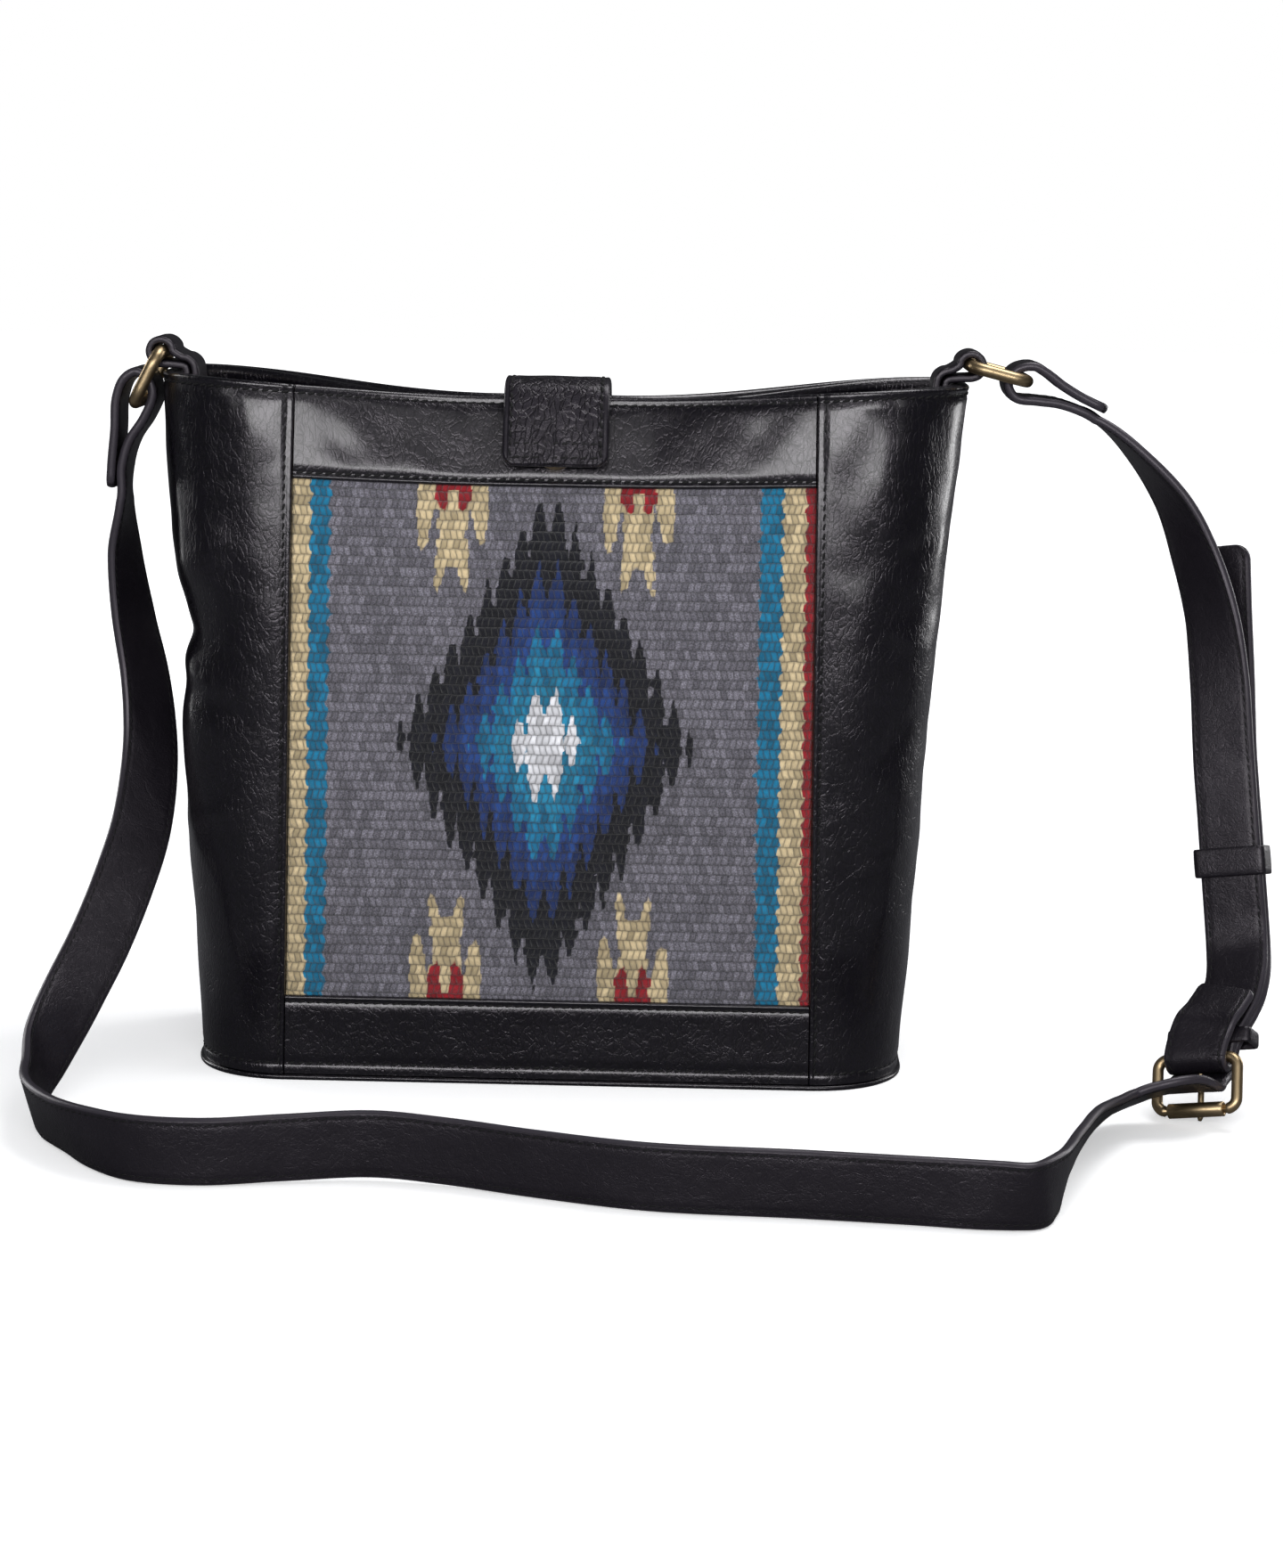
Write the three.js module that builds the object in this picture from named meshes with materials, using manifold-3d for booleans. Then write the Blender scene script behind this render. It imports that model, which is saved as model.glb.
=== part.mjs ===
import * as THREE from 'three';
import Module from 'manifold-3d';
import { mergeVertices } from 'three/addons/utils/BufferGeometryUtils.js';

const wasm = await Module();
wasm.setup();

// A bucket-shaped crossbody bag with a woven front panel, in millimetres, +Z up, its front
// towards -Y, and its origin on the ground under the middle of its base.

// Bag body
const bagHeight = 268;
const baseThickness = 1.8;
const baseLip = 1.2;
const rimHalfWidth = 153;
const rightFlare = 4.5;
const baseHalfWidth = 137.2;
const seamHalfWidthTop = 97.5;
const seamHalfWidthBase = 101;
const frontDepthBase = 53;
const frontDepthRim = 50;
const backDepthBase = 53;
const backDepthRim = 48;
const cornerDepth = 38;
const backCornerRadius = 7;
const frontPinch = 27;
const backPinch = 52;
const pinchReach = 150;
const pinchFlat = 24;
const pinchStart = 0.5;
const rimDip = 6;
const leftDent = 6.5;
const leftDentHeight = 170;
const leftDentSpan = 26;

// Layers of the wall, as thicknesses
const seamGap = 0.3;
const layerEase = 0.45;
const bandSink = 0.5;
const bandLeather = 1.8;
const weaveBacking = 1.0;
const weaveStand = 1.3;
const ribRelief = 0.7;
const liningCloth = 0.7;
const facingLeather = 1.2;
const stiffenerBoard = 2.5;

// Woven panel window and its ribs
const topBandHeight = 36;
const bottomBandHeight = 33;
const weaveHem = 7;
const ribPitch = 5.3;
const facingWidth = 35;

// Closure tab and its snap
const tabHalfWidth = 20;
const tabLeather = 3.2;
const tabDrop = 33;
const tabBend = 14;
const tabCorner = 5;
const tabHingeDrop = 4;
const tabArch = 3.2;
const snapRadius = 8;
const snapDrop = 25.5;
const snapHalfThickness = 1.6;
const snapSeat = 0.6;

// Rings and the leather tabs that hold them
const ringWire = 2.4;
const ringInnerWidth = 26;
const ringReach = 22;
const ringPivotRise = 7.3;
const ringCorner = 6;
const ringLeftAngle = 207;
const ringRightAngle = -14;
const ringTabHalfWidth = 11;
const ringTabLeather = 2.8;
const ringTabSewnLength = 24;

// Strap, buckle and keepers
const strapHalfWidth = 12;
const strapLeather = 3.4;
const layerGap = 0.4;
const tailCorner = 6;
const holePitch = 22;
const holeRadius = 1.9;
const holeCount = 3;
const buckleWire = 2.1;
const buckleBarWire = 1.6;
const buckleInnerWidth = 27;
const buckleReach = 20;
const buckleCorner = 4;
const rollerWall = 0.9;
const prongWire = 1.2;
const prongSlotHalfWidth = 1.9;
const prongSlotEase = 7;
const runningGap = 0.3;
const keeperLeather = 1.4;
const keeperRoom = 0.5;
const upperKeeperWidth = 11;
const lowerKeeperWidth = 6;
const lowerKeeperSeat = 8.5;

const vec = (x, y, z) => new THREE.Vector3(x, y, z);
const lerp = (a, b, t) => a + (b - a) * t;
const range = (count) => Array.from({ length: count + 1 }, (_, i) => i / count);

// Turns positions and triangles into one closed geometry with its faces pointing out.
function closedGeometry(points, triangles) {
  let volume = 0;
  for (const [a, b, c] of triangles) {
    volume += points[a].dot(points[b].clone().cross(points[c]));
  }
  const index = triangles.flatMap(([a, b, c]) => (volume < 0 ? [a, c, b] : [a, b, c]));
  const geometry = new THREE.BufferGeometry();
  const positions = points.flatMap((p) => p.toArray());
  geometry.setAttribute('position', new THREE.Float32BufferAttribute(positions, 3));
  geometry.setIndex(index);
  return geometry;
}

// A grid of section loops swept along stations: every loop is closed, and the ends are capped by
// a fan unless the sweep itself is closed. From the loop's place `turnAt` on, the quads are split
// along their other diagonal, so that both skins of a wall bend alike.
function sweepLoops(loops, closed, turnAt = Infinity) {
  const size = loops[0].length;
  const points = loops.flat();
  const triangles = [];
  const last = closed ? loops.length : loops.length - 1;
  for (let i = 0; i < last; i += 1) {
    const here = i * size;
    const next = ((i + 1) % loops.length) * size;
    for (let j = 0; j < size; j += 1) {
      const k = (j + 1) % size;
      const [a, b, c, d] = [here + j, next + j, next + k, here + k];
      if (j < turnAt) triangles.push([a, b, c], [a, c, d]);
      else triangles.push([a, b, d], [b, c, d]);
    }
  }
  if (!closed) {
    const end = (loops.length - 1) * size;
    for (let j = 1; j < size - 1; j += 1) {
      triangles.push([0, j, j + 1], [end, end + j + 1, end + j]);
    }
  }
  return closedGeometry(points, triangles);
}

// A curved plate between an outer and an inner skin, over a grid of wall places.
function plate(across, up, outerSkin, innerSkin) {
  const columns = across.length;
  const rows = up.length;
  const points = [];
  for (const skin of [outerSkin, innerSkin]) {
    for (const v of up) {
      for (const u of across) points.push(skin(u, v));
    }
  }
  const at = (side, row, column) => side * rows * columns + row * columns + column;
  const triangles = [];
  const quad = (a, b, c, d) => triangles.push([a, b, c], [a, c, d]);
  const right = columns - 1;
  const top = rows - 1;
  for (let r = 0; r < top; r += 1) {
    for (let c = 0; c < right; c += 1) {
      quad(at(0, r, c), at(0, r, c + 1), at(0, r + 1, c + 1), at(0, r + 1, c));
      quad(at(1, r, c), at(1, r + 1, c), at(1, r + 1, c + 1), at(1, r, c + 1));
    }
    quad(at(0, r, 0), at(0, r + 1, 0), at(1, r + 1, 0), at(1, r, 0));
    quad(at(0, r, right), at(1, r, right), at(1, r + 1, right), at(0, r + 1, right));
  }
  for (let c = 0; c < right; c += 1) {
    quad(at(0, 0, c), at(1, 0, c), at(1, 0, c + 1), at(0, 0, c + 1));
    quad(at(0, top, c), at(0, top, c + 1), at(1, top, c + 1), at(1, top, c));
  }
  return closedGeometry(points, triangles);
}

// A shell around the bag: one profile per place on the outline, from one pole to the other, with
// the diagonals of its quads turned from the profile's place `turnAt` on.
function shellOfProfiles(profiles, turnAt = Infinity) {
  const size = profiles[0].length;
  const count = profiles.length;
  const points = [profiles[0][0], profiles[0][size - 1]];
  profiles.forEach((profile) => points.push(...profile.slice(1, size - 1)));
  const at = (i, j) => {
    if (j === 0) return 0;
    if (j === size - 1) return 1;
    return 2 + (i % count) * (size - 2) + (j - 1);
  };
  const triangles = [];
  for (let i = 0; i < count; i += 1) {
    for (let j = 0; j < size - 1; j += 1) {
      const turned = j >= turnAt && j < size - 2;
      const [a, b, c, d] = [at(i, j), at(i + 1, j), at(i + 1, j + 1), at(i, j + 1)];
      if (turned) {
        triangles.push([a, b, d], [b, c, d]);
      } else {
        if (j < size - 2) triangles.push([a, c, d]);
        if (j > 0) triangles.push([a, b, c]);
      }
    }
  }
  return closedGeometry(points, triangles);
}

function toSolid(geometry) {
  const bare = geometry.clone();
  bare.deleteAttribute('normal');
  bare.deleteAttribute('uv');
  const merged = mergeVertices(bare, 1e-4);
  return new wasm.Manifold(new wasm.Mesh({
    numProp: 3,
    vertProperties: new Float32Array(merged.attributes.position.array),
    triVerts: new Uint32Array(merged.index.array),
  }));
}

function fromSolid(solid) {
  const mesh = solid.getMesh();
  const geometry = new THREE.BufferGeometry();
  const positions = new Float32Array(mesh.vertProperties);
  geometry.setAttribute('position', new THREE.BufferAttribute(positions, 3));
  geometry.setIndex(new THREE.BufferAttribute(new Uint32Array(mesh.triVerts), 1));
  return geometry;
}

const group = new THREE.Group();
function add(name, geometry, color, roughness, metalness = 0) {
  const material = new THREE.MeshStandardMaterial({ color, roughness, metalness });
  const mesh = new THREE.Mesh(geometry, material);
  mesh.name = name;
  group.add(mesh);
}

// Outline of the bag. A place on the wall is (k, h, depth): k runs round the outline from the left
// front seam (0), over the right front seam (1), the right side (2 to 3) and the back (4 to 5) to the
// left side (6 to 7) and back to the left front seam (8); h runs from the base (0) to the rim (1);
// depth is how far the place lies inside the outer skin.
const wallBottom = baseThickness + seamGap;

function pinchAcross(x) {
  const away = Math.max(0, Math.abs(x) - pinchFlat) / (pinchReach - pinchFlat);
  return Math.cos((Math.PI / 2) * Math.min(1, away)) ** 2;
}

function pinchUp(h) {
  return Math.max(0, (h - pinchStart) / (1 - pinchStart)) ** 2;
}

function frontY(x, h) {
  return -lerp(frontDepthBase, frontDepthRim, h) + frontPinch * pinchAcross(x) * pinchUp(h);
}

function backY(x, h) {
  return lerp(backDepthBase, backDepthRim, h) - backPinch * pinchAcross(x) * pinchUp(h);
}

function sideX(h, left) {
  const z = h * bagHeight;
  const dent = leftDent * Math.exp(-(((z - leftDentHeight) / leftDentSpan) ** 2));
  return left
    ? lerp(baseHalfWidth, rimHalfWidth, h) - dent
    : lerp(baseHalfWidth, rimHalfWidth, h) + rightFlare * pinchUp(h);
}

// Half of the outline, on the +X side, as a point in plan: 0 to 1 is the middle of the front to the
// front seam, 1 to 2 the front corner, 2 to 3 the side, 3 to 4 the back corner, 4 to 5 to the middle.
function halfOutline(t, h, left) {
  const seam = lerp(seamHalfWidthBase, seamHalfWidthTop, h);
  const side = sideX(h, left);
  const backX = side - backCornerRadius;
  const step = 0.5;
  if (t <= 1) return [t * seam, frontY(t * seam, h)];
  if (t < 2) {
    const y0 = frontY(seam, h);
    const slope = (frontY(seam + step, h) - frontY(seam - step, h)) / (2 * step);
    const reach = (side - seam) * 0.55;
    const curve = new THREE.CubicBezierCurve(
      new THREE.Vector2(seam, y0),
      new THREE.Vector2(seam + reach, y0 + slope * reach),
      new THREE.Vector2(side, y0 + cornerDepth * 0.35),
      new THREE.Vector2(side, y0 + cornerDepth),
    );
    return curve.getPoint(t - 1).toArray();
  }
  const frontEnd = frontY(seam, h) + cornerDepth;
  const backEnd = backY(backX, h) - backCornerRadius;
  if (t <= 3) return [side, lerp(frontEnd, backEnd, t - 2)];
  if (t < 4) {
    const angle = (t - 3) * (Math.PI / 2);
    return [backX + backCornerRadius * Math.cos(angle), backEnd + backCornerRadius * Math.sin(angle)];
  }
  return [backX * (5 - t), backY(backX * (5 - t), h)];
}

function skinPoint(k, h) {
  const turn = ((k % 8) + 8) % 8;
  let t;
  let sign = 1;
  if (turn <= 1) {
    t = Math.abs(turn * 2 - 1);
    sign = turn < 0.5 ? -1 : 1;
  } else if (turn <= 4) {
    t = turn;
  } else if (turn <= 5) {
    t = 4 + Math.min(1, (turn - 4) * 2);
    sign = turn < 4.5 ? 1 : -1;
    if (turn > 4.5) t = 4 + (5 - turn) * 2;
  } else {
    t = 9 - turn;
    sign = -1;
  }
  const [x, y] = halfOutline(t, h, sign < 0);
  const dip = rimDip * pinchAcross(x) * pinchUp(h);
  return vec(sign * x, y, wallBottom + (bagHeight - wallBottom) * h - dip);
}

function wallPoint(k, h, depth) {
  const step = 0.004;
  const low = Math.max(0, h - step);
  const high = Math.min(1, h + step);
  const along = skinPoint(k + step, h).sub(skinPoint(k - step, h));
  const rise = skinPoint(k, high).sub(skinPoint(k, low));
  const outward = along.cross(rise).normalize();
  if (h < 0.02) outward.setZ(0).normalize();
  return skinPoint(k, h).addScaledVector(outward, -depth);
}

function outwardAt(k, h) {
  return wallPoint(k, h, -1).sub(wallPoint(k, h, 0)).normalize();
}

const heightAt = (z) => (z - wallBottom) / (bagHeight - wallBottom);
const sideways = (gap) => gap / (2 * seamHalfWidthBase);
const between = (from, to, count) => range(count).map((t) => lerp(from, to, t));
const weaveTop = bagHeight - topBandHeight;
const weaveBottom = bottomBandHeight;

// Depths of the layers, worked out from their thicknesses
const bandInner = bandSink + bandLeather;
const weaveFace = bandInner + layerEase + 0.1;
const wallInner = weaveFace + weaveBacking;
const liningOuter = wallInner + layerEase;
const liningInner = liningOuter + liningCloth;
const facingOuter = liningInner + seamGap;
const facingInner = facingOuter + facingLeather;

const leather = 0x1b181f;
const leatherRoughness = 0.32;
const woolColor = 0x66626a;
const clothColor = 0x6b5b48;
const boardColor = 0x8a7a60;
const brass = 0x9a7f56;
const brassRoughness = 0.38;

// Places round the outline, closer together at the corners, and heights up the wall. Every layer
// uses the same ones, so that the layers lie evenly on each other.
const outlineSteps = [10, 8, 3, 3, 12, 3, 3, 8];
const places = outlineSteps.flatMap((count, i) => between(i, i + 1, count).slice(0, -1));
const facingStart = heightAt(bagHeight - facingWidth);
const wallRows = [
  0, 0.05, 0.13, 0.25, 0.38, 0.5, 0.56, 0.62, 0.68, 0.74, 0.8, facingStart, lerp(facingStart, 1, 0.5), 1,
];
const within = (list, from, to) => [from, ...list.filter((v) => v > from && v < to), to];

function frontPlate(fromHeight, toHeight) {
  const edge = sideways(seamGap);
  return plate(
    within(places, edge, 1 - edge),
    within(wallRows, fromHeight, toHeight),
    (k, h) => wallPoint(k, h, bandSink),
    (k, h) => wallPoint(k, h, bandInner),
  );
}

function sidePanel(fromK, toK) {
  return plate(
    within(places, fromK, toK),
    wallRows,
    (k, h) => wallPoint(k, h, 0),
    (k, h) => wallPoint(k, h, wallInner),
  );
}

// The weave lies behind the bands and sides, and stands forward inside their window, where its
// ribs run from seam to seam.
function wovenPanel() {
  const windowEdge = sideways(2 * seamGap);
  const standEdge = windowEdge + sideways(0.4);
  const across = [windowEdge, ...within(places, standEdge, 1 - standEdge), 1 - windowEdge];
  const ribs = Math.round((weaveTop - weaveBottom) / ribPitch);
  const edgeRows = 2;
  const up = [
    weaveBottom - weaveHem,
    weaveBottom + seamGap,
    ...between(weaveBottom + 2 * seamGap, weaveTop - 2 * seamGap, ribs * 2),
    weaveTop - seamGap,
    weaveTop + weaveHem,
  ].map(heightAt);
  const faceDepth = (row, column) => {
    const inRows = row >= edgeRows && row < up.length - edgeRows;
    const inColumns = column > 0 && column < across.length - 1;
    if (!inRows || !inColumns) return weaveFace;
    return weaveFace - weaveStand + ((row - edgeRows) % 2 === 0 ? ribRelief : 0);
  };
  return plate(
    across,
    up,
    (k, h) => wallPoint(k, h, faceDepth(up.indexOf(h), across.indexOf(k))),
    (k, h) => wallPoint(k, h, wallInner),
  );
}

function ringOfWall(places, up, outerDepth, innerDepth) {
  const loops = places.map((k) => [
    ...up.map((h) => wallPoint(k, h, outerDepth)),
    ...up.slice().reverse().map((h) => wallPoint(k, h, innerDepth)),
  ]);
  return sweepLoops(loops, true, up.length);
}

const flatPoint = (k, depth, z) => wallPoint(k, 0, depth).setZ(z);

function flatBoard(places, depth, bottom, top) {
  return shellOfProfiles(places.map((k) => [
    vec(0, 0, bottom),
    flatPoint(k, depth, bottom),
    flatPoint(k, depth, top),
    vec(0, 0, top),
  ]));
}

// The lining is one cup of cloth: its floor rests on the board, and its wall follows the leather.
function liningCup(places, floorBottom) {
  const floorTop = floorBottom + liningCloth;
  const up = within(wallRows, heightAt(floorTop + 2), 1);
  return shellOfProfiles(places.map((k) => [
    vec(0, 0, floorBottom),
    flatPoint(k, liningOuter, floorBottom),
    ...up.map((h) => wallPoint(k, h, liningOuter)),
    ...up.slice().reverse().map((h) => wallPoint(k, h, liningInner)),
    flatPoint(k, liningInner, floorTop),
    vec(0, 0, floorTop),
  ]), up.length + 2);
}

const edgeGap = sideways(seamGap);
const cornerGap = 0.01;
const seamCornerGap = 0.0035;

add('front_woven_panel', wovenPanel(), woolColor, 0.95);
add('front_top_band', frontPlate(heightAt(weaveTop), 1), leather, leatherRoughness);
add('front_bottom_band', frontPlate(0, heightAt(weaveBottom)), leather, leatherRoughness);
add('side_panel_right', sidePanel(1 + seamCornerGap, 4 - cornerGap), leather, leatherRoughness);
add('side_panel_left', sidePanel(5 + cornerGap, 8 - seamCornerGap), leather, leatherRoughness);
add('back_panel', plate(
  within(places, 4 + edgeGap, 5 - edgeGap),
  wallRows,
  (k, h) => wallPoint(k, h, 0),
  (k, h) => wallPoint(k, h, wallInner),
), leather, leatherRoughness);

const boardBottom = baseThickness + seamGap;
add('base_panel', flatBoard(places, -baseLip, 0, baseThickness), leather, leatherRoughness);
const boardTop = boardBottom + stiffenerBoard;
add('base_stiffener', flatBoard(places, liningOuter, boardBottom, boardTop), boardColor, 0.9);
add('lining', liningCup(places, boardTop + seamGap), clothColor, 0.95);
add('rim_facing', ringOfWall(
  places,
  within(wallRows, facingStart, 1),
  facingOuter,
  facingInner,
), leather, leatherRoughness);

// Leather strips: stations hold a centre and a direction across the strip, and the strip is a flat
// bar swept along them.
function stripStations(controls, perSegment, endCorner = 0, halfWidth = strapHalfWidth) {
  const path = new THREE.CatmullRomCurve3(controls.map(([p]) => p), false, 'centripetal');
  const side = new THREE.CatmullRomCurve3(controls.map(([, w]) => w), false, 'centripetal');
  const segments = controls.length - 1;
  const params = range(segments * perSegment);
  const end = path.getPoint(1);
  if (endCorner > 0) {
    const lastLength = controls[segments][0].distanceTo(controls[segments - 1][0]);
    const cornerShare = endCorner / (segments * lastLength);
    const cut = params.filter((t) => t < 1 - cornerShare);
    const steps = [1, 0.7, 0.42, 0.2, 0.06, 0].map((part) => 1 - part * cornerShare);
    params.splice(0, params.length, ...cut, ...steps);
  }
  return params.map((t) => {
    const centre = path.getPoint(t);
    const before = path.getPoint(Math.max(0, t - 0.002));
    const tangent = path.getPoint(Math.min(1, t + 0.002)).sub(before).normalize();
    const across = side.getPoint(t);
    across.addScaledVector(tangent, -across.dot(tangent)).normalize();
    const short = Math.max(0, endCorner - end.distanceTo(centre));
    const half = halfWidth - endCorner + Math.sqrt(Math.max(0, endCorner ** 2 - short ** 2));
    return { centre, tangent, across, half, face: across.clone().cross(tangent) };
  });
}

function stripSolid(stations, thickness) {
  const corners = [[-1, -1], [1, -1], [1, 1], [-1, 1]];
  const loops = stations.map(({ centre, across, face, half }) => corners.map(([a, b]) => centre.clone()
    .addScaledVector(across, a * half)
    .addScaledVector(face, (b * thickness) / 2)));
  return sweepLoops(loops, false);
}

// A round wire along a path, closed like a ring or open like a prong. The wire's own radius may
// change along it.
function wireSolid(path, radiusAt, closed, upright, sides = 10) {
  const loops = path.map((point, i) => {
    const before = path[(i - 1 + path.length) % path.length];
    const after = path[(i + 1) % path.length];
    const first = !closed && i === 0;
    const last = !closed && i === path.length - 1;
    const tangent = (last ? point : after).clone().sub(first ? point : before).normalize();
    const across = tangent.clone().cross(upright).normalize();
    const radius = radiusAt(i, point);
    return Array.from({ length: sides }, (_, j) => {
      const angle = (j / sides) * 2 * Math.PI;
      return point.clone()
        .addScaledVector(across, radius * Math.cos(angle))
        .addScaledVector(upright, radius * Math.sin(angle));
    });
  });
  return sweepLoops(loops, closed);
}

// A rectangle with round corners, in the plane of two directions, from its first side's middle.
function roundedLoop(origin, alongDir, acrossDir, length, width, corner) {
  const corners = [[0, 1], [1, 1], [1, -1], [0, -1]];
  const points = [];
  corners.forEach(([end, side], i) => {
    const centreAlong = end ? length - corner : corner;
    const centreAcross = side * (width / 2 - corner);
    const start = Math.PI - (i * Math.PI) / 2;
    for (const t of range(4)) {
      const angle = start - t * (Math.PI / 2);
      points.push(origin.clone()
        .addScaledVector(alongDir, centreAlong + corner * Math.cos(angle))
        .addScaledVector(acrossDir, centreAcross + corner * Math.sin(angle)));
    }
  });
  return points;
}

// Closure tab: it follows the leaning front band at the snap's distance, arches over both rims and
// is sewn to the back just under its rim.
const snapStack = snapSeat + 2 * snapHalfThickness + 2 * seamGap;
const frontMiddle = 0.5;
const backMiddle = 4.5;
const tabOffset = snapStack + tabLeather / 2 - bandSink;
const frontHeightAt = (z) => heightAt(z + rimDip * pinchUp(heightAt(z)));
const onFront = (z) => wallPoint(frontMiddle, frontHeightAt(z), -tabOffset);
const rimMiddle = skinPoint(frontMiddle, 1);
const backRim = skinPoint(backMiddle, 1);
const tabRest = seamGap + tabLeather / 2;
const tabRoot = wallPoint(backMiddle, heightAt(bagHeight - tabHingeDrop), -tabRest - 0.1);
const acrossTab = vec(1, 0, 0);
const tabTop = rimMiddle.z + tabRest + tabArch;
const tabControls = [
  tabRoot,
  wallPoint(backMiddle, 1, -tabRest - 0.4),
  vec(0, backRim.y, backRim.z + tabRest + 1.4),
  vec(0, lerp(backRim.y, rimMiddle.y, 0.4), tabTop),
  vec(0, rimMiddle.y + 3, tabTop - 0.2),
  vec(0, rimMiddle.y - tabOffset * 0.62, rimMiddle.z + tabOffset * 0.45),
  onFront(bagHeight - tabBend),
  onFront(bagHeight - tabDrop * 0.7),
  onFront(bagHeight - tabDrop),
].map((p) => [p, acrossTab]);
const tabStations = stripStations(tabControls, 3, tabCorner, tabHalfWidth);
add('closure_tab', stripSolid(tabStations, tabLeather), leather, 0.4);

// Snap halves: flat magnetic discs, one on the band and one inside the tab.
function snapDisc(innerDepth) {
  const h = frontHeightAt(bagHeight - snapDrop);
  const outward = outwardAt(frontMiddle, h);
  const centre = wallPoint(frontMiddle, h, innerDepth);
  centre.addScaledVector(outward, snapHalfThickness / 2);
  const disc = new THREE.CylinderGeometry(snapRadius, snapRadius, snapHalfThickness, 24);
  disc.applyQuaternion(new THREE.Quaternion().setFromUnitVectors(vec(0, 1, 0), outward));
  disc.translate(centre.x, centre.y, centre.z);
  return disc;
}

const bandHalfDepth = bandSink - snapSeat;
const tabHalfDepth = bandHalfDepth - snapHalfThickness - seamGap;
add('snap_half_band', snapDisc(bandHalfDepth), brass, brassRoughness, 1);
add('snap_half_tab', snapDisc(tabHalfDepth), brass, brassRoughness, 1);

// Rings hang from their tabs at the middle of the bag's sides.
const rimEnd = (sign) => sideX(1, sign < 0);

function ringSide(sign, angle) {
  const turn = THREE.MathUtils.degToRad(angle);
  const pivot = vec(sign * rimEnd(sign), 0, bagHeight + ringPivotRise);
  const [sine, cosine] = [Math.sin(turn), Math.cos(turn)];
  return { pivot, reach: sign > 0 ? vec(cosine, 0, sine) : vec(sine, 0, cosine) };
}

function ringSolid({ pivot, reach }) {
  const width = ringInnerWidth + 2 * ringWire;
  const loop = roundedLoop(pivot, reach, vec(0, 1, 0), ringReach, width, ringCorner);
  const upright = reach.clone().cross(vec(0, 1, 0)).normalize();
  return wireSolid(loop, () => ringWire, true, upright, 12);
}

// A ring tab is one strap of leather: up the inside of the rim, round the ring's bar, and down the
// inside again.
function ringTab(sign, { pivot }) {
  const corner = [rimEnd(sign) - facingInner - 1.5, bagHeight + seamGap];
  const bar = [Math.abs(pivot.x), pivot.z];
  const nearRadius = seamGap + ringTabLeather / 2 + 0.1;
  const farRadius = nearRadius + ringTabLeather + layerGap + 0.1;
  const barRadius = ringWire + runningGap + ringTabLeather / 2 + 0.45;
  const foot = bagHeight - ringTabSewnLength;
  const lean = rimEnd(sign) - sideX(heightAt(bagHeight - ringTabSewnLength), sign < 0);
  const about = ([x, z], radius, degrees) => {
    const angle = THREE.MathUtils.degToRad(degrees);
    return [x + radius * Math.cos(angle), z + radius * Math.sin(angle)];
  };
  const outline = [
    [corner[0] - farRadius - lean, foot],
    [corner[0] - farRadius - lean * 0.4, bagHeight - 9],
    ...[180, 155, 135].map((degrees) => about(corner, farRadius, degrees)),
    ...[138, 110, 80, 45, 0, -45, -80].map((degrees) => about(bar, barRadius, degrees)),
    [bar[0] - 3.5, corner[1] + nearRadius + 0.4],
    ...[90, 135, 180].map((degrees) => about(corner, nearRadius, degrees)),
    [corner[0] - nearRadius - lean * 0.4, bagHeight - 9],
    [corner[0] - nearRadius - lean, foot],
  ];
  const controls = outline.map(([x, z]) => [vec(sign * x, 0, z), vec(0, 1, 0)]);
  return stripSolid(stripStations(controls, 2, 0, ringTabHalfWidth), ringTabLeather);
}

const leftRing = ringSide(-1, ringLeftAngle);
const rightRing = ringSide(1, ringRightAngle);
add('ring_left', ringSolid(leftRing), brass, brassRoughness, 1);
add('ring_right', ringSolid(rightRing), brass, brassRoughness, 1);
add('ring_tab_left', ringTab(-1, leftRing), leather, leatherRoughness);
add('ring_tab_right', ringTab(1, rightRing), leather, leatherRoughness);

// Buckle frame of reference: the roller's place on the ground in front of the bag's right side, the
// direction along the roller, and the direction up the strap.
const rollerCentre = vec(rimEnd(1) + 86.5, -90.5, 6.4);
const alongRoller = vec(0.87, -0.45, 0.2).normalize();
const upStrap = vec(0.07, 0.5, 0.86);
upStrap.addScaledVector(alongRoller, -upStrap.dot(alongRoller)).normalize();
const farSide = upStrap.clone().cross(alongRoller).normalize();
const foldBar = rollerCentre.clone().addScaledVector(upStrap, buckleReach);
const inBuckle = (up, out, along = 0) => foldBar.clone()
  .addScaledVector(upStrap, up)
  .addScaledVector(farSide, out)
  .addScaledVector(alongRoller, along);
const foldRadius = buckleWire + runningGap + strapLeather / 2;
const layerPitch = strapLeather + layerGap;

// Straight stretch of the right-hand strap, where the sliding keeper runs.
const straightFoot = vec(rimEnd(1) + 104.9, -51.5, 62);
const straightTop = vec(rimEnd(1) + 99.1, -34.3, 0.4925 * bagHeight);
const straightDir = straightFoot.clone().sub(straightTop).normalize();
const straightAcross = vec(0.9, -0.42, 0.165);
straightAcross.addScaledVector(straightDir, -straightAcross.dot(straightDir)).normalize();
const straightFace = straightAcross.clone().cross(straightDir);

// Hand-chosen places of the strap's route: beside a ring from its pivot; beside the bag outwards from
// the end of its rim, and up as a share of its height; and on the ground, standing on its edge.
const besideRing = ({ pivot }, out, y, up) => vec(pivot.x + Math.sign(pivot.x) * out, y, pivot.z + up);
const besideBag = (sign, out, y, share) => vec(sign * (rimEnd(sign) + out), y, share * bagHeight);
const onGround = (x, y, lift) => vec(x, y, strapHalfWidth + lift);

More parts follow.
